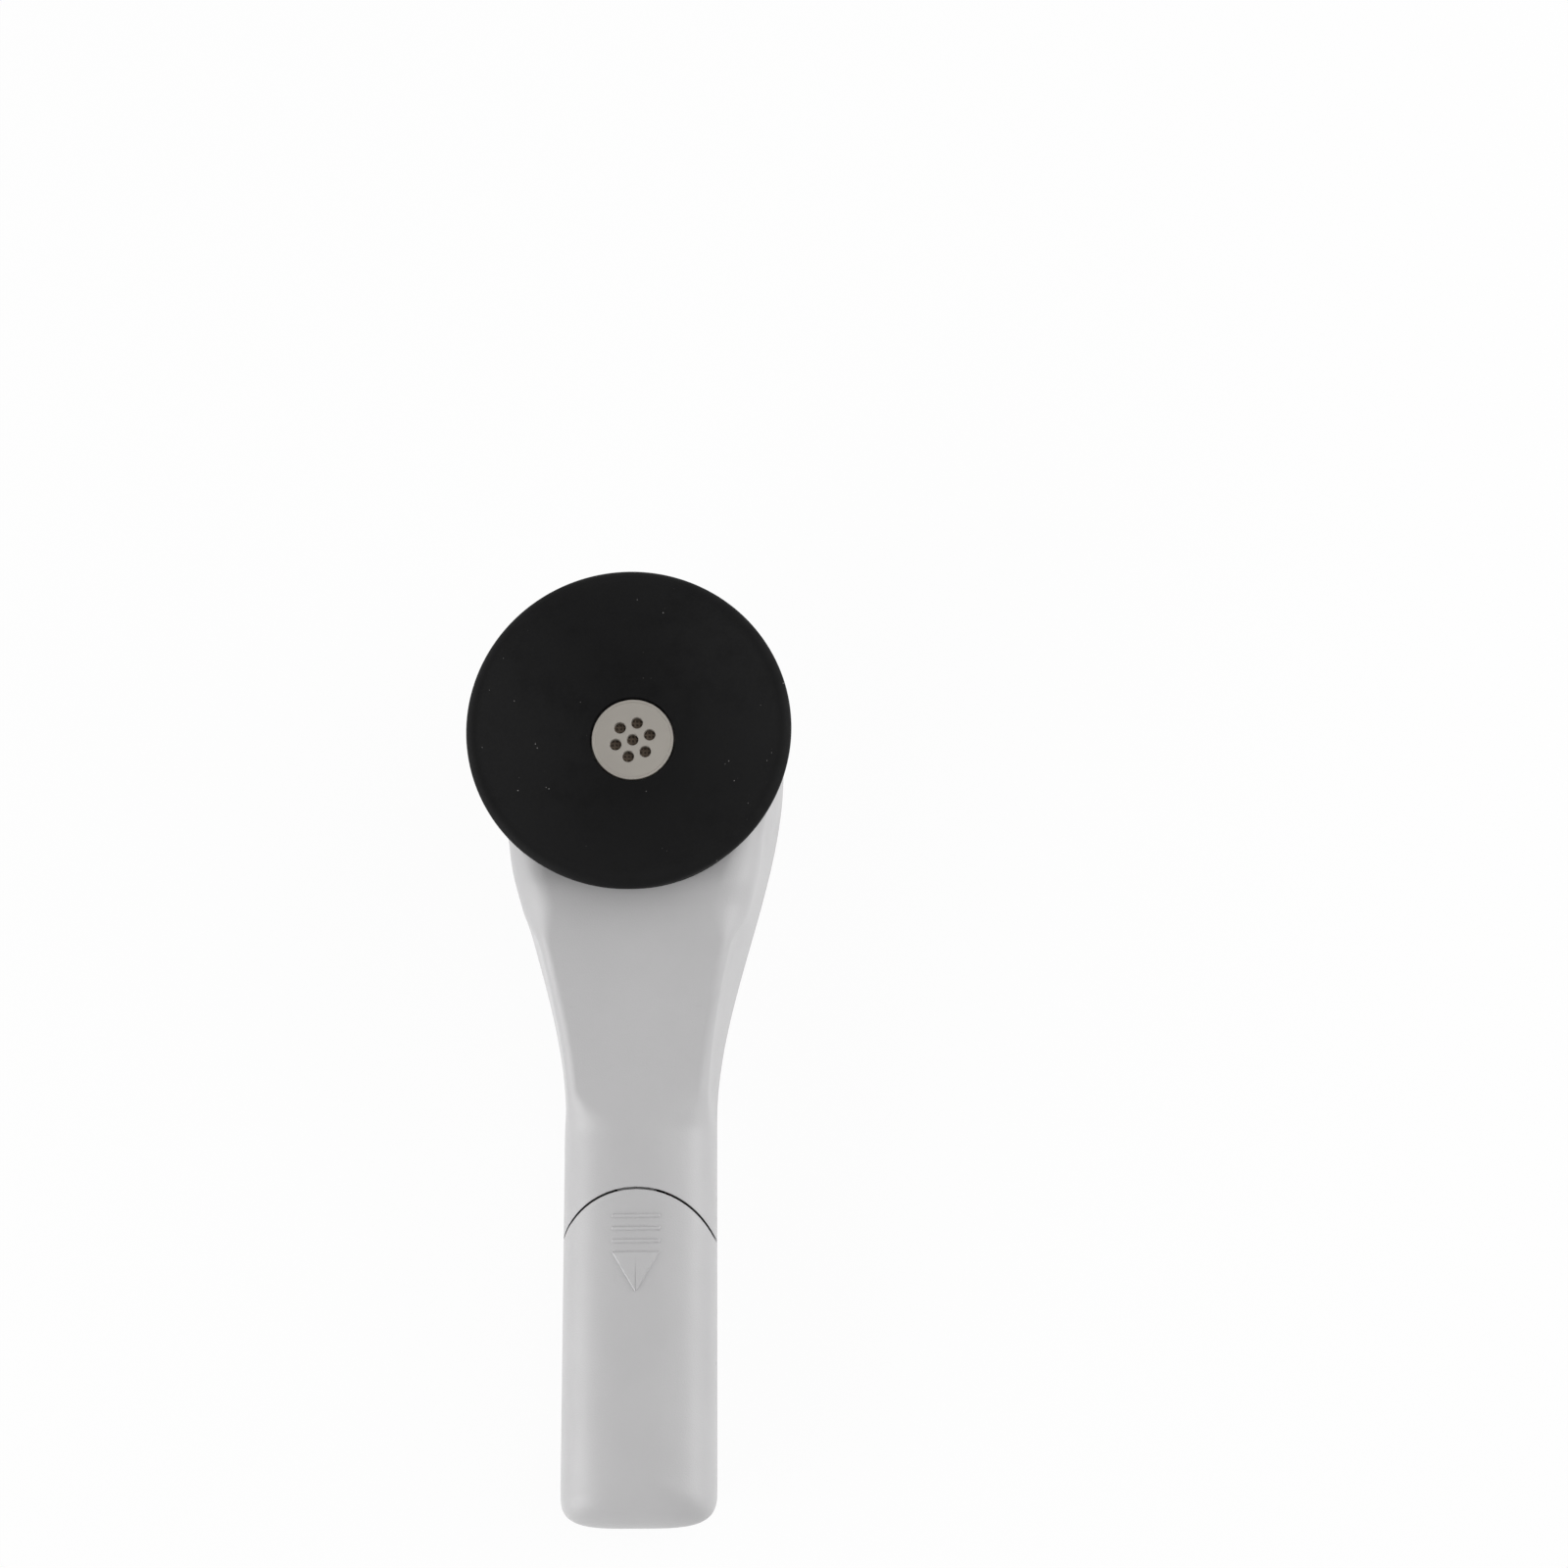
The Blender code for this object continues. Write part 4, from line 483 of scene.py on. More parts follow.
markInk = makeSurface("paleMarkInk", {
    "colour": (0.62, 0.63, 0.62), "shade": (0.56, 0.57, 0.56), "roughness": (0.45, 0.6),
    "grain": (5000.0, 0.00001), "dust": 0.1, "wear": 0.6, "worn": (0.4, 0.42, 0.43),
})
maskInk = makeSurface("darkWindowPrint", {
    "colour": (0.035, 0.04, 0.045), "shade": (0.03, 0.034, 0.038), "roughness": (0.3, 0.36),
    "grain": (6000.0, 0.000003), "dust": 0.1, "wear": 0.0,
})
digitInk = makeSurface("displayDigits", {
    "colour": (0.018, 0.022, 0.024), "shade": (0.014, 0.018, 0.02), "roughness": (0.25, 0.3),
    "grain": (6000.0, 0.000002), "dust": 0.0, "wear": 0.0,
})
ghostInk = makeSurface("displayUnlit", {
    "colour": (0.27, 0.31, 0.255), "shade": (0.255, 0.295, 0.24), "roughness": (0.22, 0.28),
    "grain": (6000.0, 0.000002), "dust": 0.0, "wear": 0.0,
})
lcdGlass = makeSurface("displayGlass", {
    "colour": (0.31, 0.355, 0.29), "shade": (0.29, 0.335, 0.27), "roughness": (0.16, 0.24),
    "grain": (5000.0, 0.000004), "toneScale": 90.0, "dust": 0.05, "wear": 0.0,
})
blackPlastic = makeSurface("blackPlastic", {
    "colour": (0.022, 0.022, 0.023), "shade": (0.018, 0.018, 0.019), "roughness": (0.4, 0.52),
    "grain": (3000.0, 0.00002), "worn": (0.06, 0.06, 0.06),
})
chipResin = makeSurface("chipResin", {
    "colour": (0.03, 0.03, 0.031), "shade": (0.024, 0.024, 0.025), "roughness": (0.55, 0.65),
    "grain": (7000.0, 0.00002), "dust": 0.1, "wear": 0.2, "worn": (0.08, 0.08, 0.08),
})
matRubber = makeSurface("greyMatRubber", {
    "colour": (0.24, 0.24, 0.25), "shade": (0.21, 0.21, 0.22), "roughness": (0.6, 0.72),
    "grain": (2600.0, 0.00002), "wear": 0.2, "worn": (0.3, 0.3, 0.3),
})
zebraRubber = makeSurface("stripedContactRubber", {
    "colour": (0.36, 0.34, 0.33), "shade": (0.32, 0.3, 0.29), "roughness": (0.55, 0.65),
    "grain": (3000.0, 0.00001), "dust": 0.1, "wear": 0.0,
    "pattern": ("lines", {"Scale_X": 5200.0, "Scale_Y": 60.0, "Scale_Z": 60.0}, (0.02, 0.02, 0.02), 0.00001),
})
greenBoard = makeSurface("greenLacquerBoard", {
    "colour": (0.018, 0.115, 0.045), "shade": (0.014, 0.095, 0.037), "roughness": (0.24, 0.36),
    "grain": (2500.0, 0.00001), "dust": 0.2, "wear": 0.3, "worn": (0.2, 0.26, 0.1),
    "pattern": ("tracks", {"Scale": 240.0}, (0.5, 0.42, 0.22), 0.00003), "Coat Weight": 0.3,
})
zincSteel = makeSurface("zincPlatedSteel", {
    "colour": (0.58, 0.57, 0.54), "shade": (0.5, 0.5, 0.49), "roughness": (0.28, 0.42), "Metallic": 1.0,
    "grain": (1800.0, 0.00001), "wear": 0.5, "worn": (0.7, 0.69, 0.66),
    "pattern": ("lines", {"Scale_X": 700.0, "Scale_Y": 700.0, "Scale_Z": 9000.0},
                (0.45, 0.44, 0.42), 0.000005),
})
nickelSteel = makeSurface("nickelPlatedSteel", {
    "colour": (0.66, 0.63, 0.57), "shade": (0.58, 0.55, 0.5), "roughness": (0.18, 0.3), "Metallic": 1.0,
    "grain": (1800.0, 0.000008), "dust": 0.2, "worn": (0.75, 0.72, 0.66),
    "pattern": ("lines", {"Scale_X": 900.0, "Scale_Y": 6000.0, "Scale_Z": 900.0},
                (0.5, 0.48, 0.43), 0.000004),
})
copperWinding = makeSurface("copperWinding", {
    "colour": (0.62, 0.28, 0.13), "shade": (0.5, 0.21, 0.09), "roughness": (0.25, 0.36), "Metallic": 1.0,
    "grain": (2500.0, 0.000005), "dust": 0.0, "wear": 0.0,
    "pattern": ("lines", {"Scale_X": 30.0, "Scale_Y": 30.0, "Scale_Z": 16000.0}, (0.3, 0.11, 0.05), 0.00004),
})
amberFilm = makeSurface("amberFilm", {
    "colour": (0.42, 0.27, 0.1), "shade": (0.36, 0.22, 0.08), "roughness": (0.14, 0.24),
    "grain": (800.0, 0.00002), "dust": 0.2, "wear": 0.0, "Coat Weight": 0.4,
})
openFoam = makeSurface("openCellFoam", {
    "colour": (0.045, 0.045, 0.046), "shade": (0.03, 0.03, 0.031), "roughness": (0.85, 0.95),
    "grain": (2400.0, 0.0001), "dust": 0.4, "wear": 0.0,
    # lighter colour on the cell walls and darker pits: painted shade in the pits, besides the bump
    "pattern": ("poresAndPaintedShade", {"Scale": 2300.0}, (0.07, 0.07, 0.072), 0.0003), "Specular IOR Level": 0.2,
})
speakerCloth = makeSurface("speakerCloth", {
    "colour": (0.07, 0.053, 0.041), "shade": (0.047, 0.036, 0.028), "roughness": (0.8, 0.92),
    "grain": (3500.0, 0.00003), "wear": 0.0,
    # lighter colour on the raised threads and darker gaps: painted shade between the threads, besides the
    # bump
    "pattern": ("weaveAndPaintedShade", {"Scale": 380.0}, (0.15, 0.117, 0.088), 0.0001), "Specular IOR Level": 0.2,
    "Sheen Weight": 0.15,
})
batteryJacket = makeSurface("batteryJacket", {
    "colour": (0.07, 0.08, 0.1), "shade": (0.055, 0.065, 0.085), "roughness": (0.2, 0.32), "Metallic": 0.35,
    "grain": (1500.0, 0.000008), "wear": 0.7, "worn": (0.5, 0.48, 0.44),
})
capacitorSleeve = makeSurface("capacitorSleeve", {
    "colour": (0.03, 0.04, 0.12), "shade": (0.025, 0.033, 0.1), "roughness": (0.26, 0.36),
    "grain": (2500.0, 0.000005), "dust": 0.2, "wear": 0.3, "worn": (0.3, 0.3, 0.32),
})
whiteNylon = makeSurface("whiteNylon", {
    "colour": (0.66, 0.65, 0.61), "shade": (0.6, 0.59, 0.55), "roughness": (0.42, 0.54),
    "grain": (3000.0, 0.00001), "dust": 0.2, "wear": 0.2, "worn": (0.7, 0.7, 0.68),
    "Subsurface Weight": 0.15, "Subsurface Scale": 0.001,
})
redInsulation = makeSurface("redInsulation", {
    "colour": (0.42, 0.018, 0.015), "shade": (0.34, 0.013, 0.012), "roughness": (0.34, 0.46),
    "grain": (2800.0, 0.00001), "wear": 0.1, "worn": (0.5, 0.1, 0.09),
})
blackInsulation = makeSurface("blackInsulation", {
    "colour": (0.016, 0.016, 0.017), "shade": (0.012, 0.012, 0.013), "roughness": (0.34, 0.46),
    "grain": (2800.0, 0.00001), "wear": 0.1, "worn": (0.05, 0.05, 0.05),
})


# clear moulded window: plain glass weights, with only the gloss and the surface changing
windowGlass = {
    "tint": (0.96, 0.975, 0.97),
    "ior": 1.49,
    "handling": {"Scale": 110.0},
    "lines": {"Scale_X": 300.0, "Scale_Y": 3500.0, "Scale_Z": 300.0},
    "smudged": (0.02, 0.09),    # roughness where it is clean and where it was handled
    "scratched": 0.02,
    "waviness": 0.000004,
}


def makeClearWindow():
    material, tree, shader = newMaterial("clearWindow")
    handling, lines = (placeGroup(tree, name, **windowGlass[name]) for name in ("handling", "lines"))
    smudges = spread(tree, handling["Smudge"], *windowGlass["smudged"])
    scratches = multiply(tree, lines["Mask"], windowGlass["scratched"])
    fill(tree, shader, Base_Color=windowGlass["tint"], Transmission_Weight=1.0, IOR=windowGlass["ior"],
         Roughness=mathNode(tree, "ADD", smudges, scratches),
         Normal=bumpNode(tree, handling["Tone"], windowGlass["waviness"]))
    return material


clearWindow = makeClearWindow()
print("materials made:", len(bpy.data.materials))

# casing
casing = {
    "headRadius": 0.0302,
    "gripHalfWidth": 0.0158,
    "flareLength": 0.075,       # from the head's centre down to where the grip starts to widen
    "tipDepth": 0.008,
    "tipSquareness": 3.7,
    "tipRoll": 0.013,           # length over which the ear side rolls down to the tip
    "gripHeight": 0.026,
    "headHeight": 0.038,
    "partingHeight": 0.012,
    "seam": 0.0003,             # gap between the front and rear shells
    "riseFoot": 0.0735,         # distances from the head's centre between which the ear side climbs
    "riseTop": 0.0275,
    "crownSquareness": 2.6,
    "innerCrownSquareness": 3.2,
    "neckShoulder": 0.0022,     # radius of the rounded edge of the ear side
    "collarShoulder": 0.007,    # the same close under the cushion
    "headShoulder": 0.0016,
    "neckSlope": 0.12,          # how much the side wall leans inwards as it rises
    "headSlope": 0.05,
    "shoulderFoot": 0.079,      # from the head's centre down to where the neck's shoulders have died out
    "shoulderFade": 0.010,
    "neckFall": 0.0022,         # how far the neck's sides lie below its middle line, at its foot
    "collarFall": 0.0016,       # the same close under the cushion
    "fallPower": 2.4,
    "fallMiddle": 0.052,        # from the head's centre down to where the neck is flat across
    "collarFoot": 0.041,        # and down to where the collar starts, is full, starts to die out and ends
    "collarMiddle": 0.033,
    "collarTop": 0.0275,
    "collarEnd": 0.011,
    "backCorner": 0.0055,
    "backInnerCorner": 0.003,
    "backSquareness": 2.3,
    "wall": 0.0018,
    "backWall": 0.0024,
    "edgeRounding": 0.00022,
    "archTop": 0.067,           # from the tip to the top of the battery cover's arch
    "archRise": 0.0106,
    "coverSeam": 0.00018,
    "coverSeamRise": 0.00026,   # how much wider the seam is at the top of the arch
    "coverStraight": 0.03,      # from the tip to the cover's last row that isn't bent to the arch
    "shellStraight": 0.001,     # and from where the flare starts down to the shell's
    "tipSteps": 18,
    "gripSteps": 30,
    "flareSteps": 56,
    "headSteps": 44,
    "sectionSteps": 18,
    "wallSteps": 5,
    "flatSteps": 10,
}
rearTop = casing["partingHeight"] - casing["seam"] / 2
frontBase = casing["partingHeight"] + casing["seam"] / 2
flareStart = headY - casing["flareLength"]
archTopY = tipY + casing["archTop"]
archRadius = (casing["gripHalfWidth"] ** 2 + casing["archRise"] ** 2) / (2 * casing["archRise"])
archCentreY = archTopY - archRadius
shoulderEnd, fallFlat, collarFoot, collarMiddle, collarTop, collarEnd = (
    headY - casing[name]
    for name in ("shoulderFoot", "fallMiddle", "collarFoot", "collarMiddle", "collarTop", "collarEnd")
)


# a value between two of the casing's sizes
def between(low, high, share):
    return casing[low] + (casing[high] - casing[low]) * share


def halfWidthAt(y):
    return between("gripHalfWidth", "headRadius", smoothStep(y, flareStart, headY))


# 0 on the grip and 1 from where the neck's shoulders are full
def neckShare(y):
    return smoothStep(y, shoulderEnd, shoulderEnd + casing["shoulderFade"])


def frontHeightAt(x, y):
    climb = smoothStep(y, headY - casing["riseFoot"], headY - casing["riseTop"])
    low = neckShare(y) * (1 - smoothStep(y, shoulderEnd, fallFlat))
    high = smoothStep(y, fallFlat, collarMiddle) * (1 - smoothStep(y, collarMiddle, collarTop))
    across = min(1.0, abs(x) / halfWidthAt(y)) ** casing["fallPower"]
    fall = (casing["neckFall"] * low + casing["collarFall"] * high) * across
    return between("gripHeight", "headHeight", climb) - fall


# right half of the plan outline from the middle of the tip round to the top of the head
def halfOutline(splitY):
    power = 2 / casing["tipSquareness"]
    half = casing["gripHalfWidth"]
    points = []
    for i in range(casing["tipSteps"] + 1):
        turn = math.pi / 2 * i / casing["tipSteps"]
        along = casing["tipDepth"] * (1 - max(0.0, math.cos(turn)) ** power)
        points.append((half * math.sin(turn) ** power, tipY + along))
    steps = casing["gripSteps"]
    for low, high, count in ((tipY + casing["tipDepth"], splitY, steps), (splitY, flareStart, steps // 2)):
        points += [(half, low + (high - low) * i / count) for i in range(1, count + 1)]
    for i in range(1, casing["flareSteps"] + 1):
        y = flareStart + casing["flareLength"] * i / casing["flareSteps"]
        points.append((halfWidthAt(y), y))
    points += arcPoints(headMiddle, casing["headRadius"], 0, 90, casing["headSteps"])[1:]
    points[0], points[-1] = (0.0, points[0][1]), (0.0, points[-1][1])
    return points


# the whole outline, anticlockwise from the tip, as (edge point, outward direction) pairs
def outlineColumns(splitY):
    right = halfOutline(splitY)
    loop = right + [(-x, y) for x, y in reversed(right[1:-1])]
    columns = []
    for i, place in enumerate(loop):
        along = directionAt(loop, i)
        columns.append((Vector(place), Vector((along.y, -along.x))))
    return columns


# side wall and rounded shoulder of the neck and the head, as (inward distance, height) pairs
def shoulderSection(y, height):
    head = smoothStep(y, headY - casing["flareLength"] / 2, headY)
    collar = smoothStep(y, collarFoot, collarMiddle) * (1 - smoothStep(y, collarTop, collarEnd))
    radius = between("neckShoulder", "headShoulder", head)
    radius += (casing["collarShoulder"] - radius) * collar
    slope = between("neckSlope", "headSlope", max(head, collar))
    walls, turns = casing["wallSteps"], casing["sectionSteps"] - casing["wallSteps"]
    pairs = [(0.0, (height - radius) * i / walls) for i in range(walls)]
    for i in range(turns + 1):
        turn = math.pi / 2 * i / turns
        pairs.append((radius * (1 - math.cos(turn)), height - radius * (1 - math.sin(turn))))
    return [(inset + slope * rise, rise) for inset, rise in pairs]


# a rounded section as (inward distance, share of the height) pairs
def roundSection(reach, squareness):
    power = 2 / squareness
    turns = [math.pi / 2 * i / casing["sectionSteps"] for i in range(casing["sectionSteps"] + 1)]
    return [(reach * (1 - max(0.0, math.cos(turn)) ** power), math.sin(turn) ** power) for turn in turns]


# the same across the ear side's edge: round on the grip, and with walls and shoulders on the neck
def frontSection(y, reach, squareness):
    neck = neckShare(y)
    height = frontHeightAt(0, y) - frontBase
    crown = roundSection(reach, squareness)
    return [(crownIn + (edgeIn - crownIn) * neck, crownUp + (rise / height - crownUp) * neck)
            for (crownIn, crownUp), (edgeIn, rise) in zip(crown, shoulderSection(y, height))]


# edge point of a skin, the point that its column runs to, and the way and distance between them
def columnStart(outer, normal, drop):
    edge = outer - normal * drop
    middle = Vector((0, min(max(edge.y, tipY + casing["tipRoll"]), headY)))
    reach = (middle - edge).length
    inward = (middle - edge).normalized() if reach > weldDistance else Vector((0, 0))
    return edge, middle, inward, reach


# one skin as a list of columns of points; depth 0 is the outer skin and 1 the inner one
def frontSkin(columns, depth, bend):
    squareness = between("crownSquareness", "innerCrownSquareness", depth)
    drop = casing["wall"] * depth
    skin = []
    for outer, normal in columns:
        edge, middle, inward, reach = columnStart(outer, normal, drop)
        column = []
        for stepIn, share in frontSection(edge.y, reach, squareness):
            place = edge + inward * min(stepIn, reach)
            far = frontHeightAt(place.x, place.y) - drop
            column.append((place, frontBase + (far - frontBase) * share))
        last = column[-1][0]
        for i in range(1, casing["flatSteps"] + 1):
            place = last.lerp(middle, i / casing["flatSteps"])
            column.append((place, frontHeightAt(place.x, place.y) - drop))
        skin.append([Vector((p.x, bend(p.x, p.y), z)) for p, z in column])
    return skin


def rearSkin(columns, depth):
    section = roundSection(between("backCorner", "backInnerCorner", depth), casing["backSquareness"])
    far = casing["backWall"] * depth
    skin = []
    for outer, normal in columns:
        edge, middle, inward, reach = columnStart(outer, normal, casing["wall"] * depth)
        places = [(edge + inward * min(stepIn, reach), share) for stepIn, share in section]
        skin.append([Vector((p.x, p.y, rearTop + (far - rearTop) * share)) for p, share in places])
    return skin


# outer and inner skins joined along the parting plane, and along the seam where the loop is open
def shellFromSkins(name, outer, inner, closed, flatEnd):
    bm = bmesh.new()
    skins = [[[bm.verts.new(p) for p in column] for column in skin] for skin in (outer, inner)]
    count = len(outer)
    spans = [(i, (i + 1) % count) for i in range(count if closed else count - 1)]
    for skin in skins:
        for i, j in spans:
            column, beside = skin[i], skin[j]
            for k in range(len(column) - 1):
                bm.faces.new((column[k], beside[k], beside[k + 1], column[k + 1]))
    for i, j in spans:
        bm.faces.new((skins[0][i][0], skins[0][j][0], skins[1][j][0], skins[1][i][0]))
    if flatEnd:
        for skin in skins:
            bm.faces.new([column[-1] for column in skin])
    if not closed:
        for end in (0, -1):
            a, b = skins[0][end], skins[1][end]
            for k in range(len(a) - 1):
                bm.faces.new((a[k], a[k + 1], b[k + 1], b[k]))
    shell = newObject(name, bm, edgeAngle)
    roundEdges(shell, casing["edgeRounding"])
    return shell


# rows between a straight line across the grip and the arched seam are bent to follow the seam
def seamBend(growth, rise, straightY):
    radius, centreY = archRadius + growth, archCentreY + rise
    sideY = centreY + math.sqrt(radius**2 - casing["gripHalfWidth"] ** 2)

    def bend(x, y):
        share = min(1.0, max(0.0, (y - straightY) / (sideY - straightY)))
        seamY = centreY + math.sqrt(radius**2 - min(abs(x), casing["gripHalfWidth"]) ** 2)
        return y + (seamY - sideY) * share

    return sideY, bend


# the column on the right side of the outline that stands nearest to y
def firstAt(columns, y):
    right = casing["gripHalfWidth"] / 2
    return min(range(len(columns) // 2), key=lambda i: abs(columns[i][0].y - y) + (columns[i][0].x < right))


coverSideY, coverBend = seamBend(0.0, 0.0, tipY + casing["coverStraight"])
shellStraight = flareStart - casing["shellStraight"]
shellSideY, shellBend = seamBend(casing["coverSeam"], casing["coverSeamRise"], shellStraight)

rearColumns = outlineColumns(coverSideY)
rearSkins = [rearSkin(rearColumns, depth) for depth in (0, 1)]
rearShell = shellFromSkins("rear_shell_body", *rearSkins, True, True)

last = firstAt(rearColumns, coverSideY)
coverColumns = rearColumns[len(rearColumns) - last:] + rearColumns[: last + 1]
coverSkins = [frontSkin(coverColumns, depth, coverBend) for depth in (0, 1)]
batteryCover = shellFromSkins("battery_cover_body", *coverSkins, False, False)

columns = outlineColumns(shellSideY)
first = firstAt(columns, shellSideY)
shellSkins = [frontSkin(columns[first : len(columns) - first + 1], depth, shellBend) for depth in (0, 1)]
frontShell = shellFromSkins("front_shell_body", *shellSkins, False, False)
print("casing skins lofted")

# screws in the back and the posts that hold them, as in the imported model
fastening = {
    "headRadius": 0.0023,
    "clearance": 0.0003,
    "counterbore": 0.004,
    "boreRadius": 0.0014,
    "boreTop": 0.013,
    "postRadius": 0.0038,
    "postFoot": 0.0018,
    "postChamfer": 0.0002,
    "frontPostRadius": 0.0032,
    "frontPostTops": (0.02315, 0.02315, 0.031, 0.031, 0.0248),      # of the screws from the tip to the head
    "frontBore": (0.0115, 0.0193),              # foot and top
    "boardPost": (0.0017, 0.0015, 0.0072),      # radius, foot and top
    "boardBore": (0.0011, 0.0027, 0.008),
}
screwPlaces = [middleOf(f"housing_screw_{i}") for i in range(1, 6)]
boardScrewPlaces = [middleOf(f"board_screw_{i}") for i in (1, 2)]

# bulkhead between battery and board, and the battery's stop and the cover's tab at the tip
inside = {
    "bulkhead": 0.0675,         # from the tip
    "bulkheadThickness": 0.0016,
    "bulkheadHalf": 0.0144,
    "bulkheadCorner": (0.012, 0.0055),
    "floor": 0.0018,
    "notches": ((0.0071, 0.0041), (-0.0041, -0.0071)),
    "notchFoot": 0.0086,
    "clearance": 0.0003,        # between the ribs and the front shell
    "stop": ((0.009, 0.0048, 0.0018), (0.009, 0.006)),     # for addTipBlock, as the two below
    "tabRoot": ((0.0036, 0.001, 0.005), (0.0036, 0.0037)),
    "tab": ((0.003, 0.0021, 0.008), (0.003, 0.0031)),
    "tabRise": 0.002,           # of the tab over the parting plane
    "tabChamfer": 0.00025,
}

# openings in the back
opening = {
    "rounding": 0.00025,
    "over": 0.001,              # by how much a cutter stands out of the surface
    "top": 0.0034,              # where the cutters end, inside the back wall
}
display = {
    "pocketHalf": (0.0185, 0.0125),
    "pocketCorner": 0.0023,
    "pocketDepth": 0.0014,
    "sightHalf": (0.0167, 0.0107),
    "sightCorner": 0.0023,
}
keys = {                        # body of each key, and the mark that is printed on it
    "frequency_down": "left",
    "frequency_up": "right",
    "level_down": "minus",
    "level_up": "plus",
    "tone": "tone",
    "power": "power",
}
keyForm = {
    "flange": 0.0008,
    "gap": 0.0003,
    "steps": 24,
    "crown": ((0.0, -0.0013), (0.00004, -0.0008), (0.00014, -0.0003), (0.0003, -0.0001), (0.0005, 0.0)),
    "flangeLow": 0.0027,
    "flangeHigh": 0.0035,
    "stemInset": 0.0017,
}


# a quarter circle as pairs that go from (0, radius) to (radius, 0)
def lipArc(radius, steps=4):
    turns = [math.radians(90 * i / steps) for i in range(steps + 1)]
    return [(radius * (1 - math.cos(turn)), radius * (1 - math.sin(turn))) for turn in turns]


# (height, growth) pairs of a rounded lip that opens downwards at height zero
def lipLevels():
    return [(-opening["over"], opening["rounding"])] + lipArc(opening["rounding"])


def keyOutline(node, growth):
    halfWidth, halfHeight = (half - keyForm["flange"] for half in halfSize(node))
    radius = halfHeight + growth
    return roundedBox(middleOf(node), halfWidth + growth, radius, radius, keyForm["steps"])


def pocketOutline(growth):
    halfWidth, halfHeight = display["pocketHalf"]
    return roundedBox(headMiddle, halfWidth + growth, halfHeight + growth, display["pocketCorner"] + growth)


# a block across the tip, from (half width, distance from the tip, foot) to (half width, distance) and top
def addTipBlock(bm, low, high, top, **more):
    addBlock(bm, (-low[0], tipY + low[1], low[2]), (high[0], tipY + high[1], top), **more)


posts = bmesh.new()
for place in screwPlaces:
    addRod(posts, fastening["postRadius"], fastening["postFoot"], rearTop, place,
           steps=32, highChamfer=fastening["postChamfer"])
for place in boardScrewPlaces:
    addRod(posts, *fastening["boardPost"], place, steps=24)
combine(rearShell, posts, "UNION")

ribs = bmesh.new()
ribTop = rearTop - inside["clearance"]
half, floorZ = inside["bulkheadHalf"], inside["floor"]
footX, footZ = inside["bulkheadCorner"]
outline = [(-half, ribTop), (-half, footZ), (-footX, floorZ), (footX, floorZ), (half, footZ), (half, ribTop)]
for low, high in inside["notches"]:
    outline += [(low, ribTop), (low, inside["notchFoot"]), (high, inside["notchFoot"]), (high, ribTop)]
bulkheadY = tipY + inside["bulkhead"]
bulkheadEnd = bulkheadY + inside["bulkheadThickness"]
addStack(ribs, [[(x, y, z) for x, z in outline] for y in (bulkheadY, bulkheadEnd)])
addTipBlock(ribs, *inside["stop"], ribTop)
addTipBlock(ribs, *inside["tabRoot"], ribTop)
combine(rearShell, ribs, "UNION")
tab = bmesh.new()
addTipBlock(tab, *inside["tab"], rearTop + inside["tabRise"], chamfer=inside["tabChamfer"])
combine(rearShell, tab, "UNION")

cutters = bmesh.new()
bore, top = fastening["boreRadius"], fastening["boreTop"]
for place in screwPlaces:
    radius = fastening["headRadius"] + fastening["clearance"]
    profile = [(0, -opening["over"])] + [(radius + growth, z) for z, growth in lipLevels()]
    profile += [(radius, fastening["counterbore"]), (bore, fastening["counterbore"]), (bore, top), (0, top)]
    addTurned(cutters, profile, place, steps=48)
for place in boardScrewPlaces:
    addRod(cutters, *fastening["boardBore"], place, steps=20)
levels = [(z, keyForm["gap"] + growth) for z, growth in lipLevels() + [(opening["top"], 0.0)]]
for body in keys:
    addLevels(cutters, lambda growth: keyOutline(f"{body}_key", growth), levels)
sight = roundedBox(headMiddle, *display["sightHalf"], display["sightCorner"])
levels = lipLevels() + [(display["pocketDepth"], 0)]
loops = [[(x, y, z) for x, y in pocketOutline(growth)] for z, growth in levels]
loops += [[(x, y, z) for x, y in sight] for z in (display["pocketDepth"], opening["top"])]
addStack(cutters, loops)
combine(rearShell, cutters, "DIFFERENCE")
evenShading(rearShell)
dress(rearShell, satinGrey, "case", "shell_plastic", "rear_shell")

# front shell: posts inside, the deck's opening under the cap
deckOpening = (0.0247, 0.0352, 0.039)      # radius, foot and top
posts, cutters = bmesh.new(), bmesh.new()
addRod(cutters, *deckOpening, headMiddle, steps=160)
for place, high in zip(screwPlaces, fastening["frontPostTops"]):
    addRod(posts, fastening["frontPostRadius"], frontBase, high, place,
           steps=32, lowChamfer=fastening["postChamfer"])
    addRod(cutters, bore, *fastening["frontBore"], place, steps=24)
combine(frontShell, posts, "UNION")
combine(frontShell, cutters, "DIFFERENCE")
evenShading(frontShell)
dress(frontShell, satinGrey, "case", "shell_plastic", "front_shell")
print("shells cut")

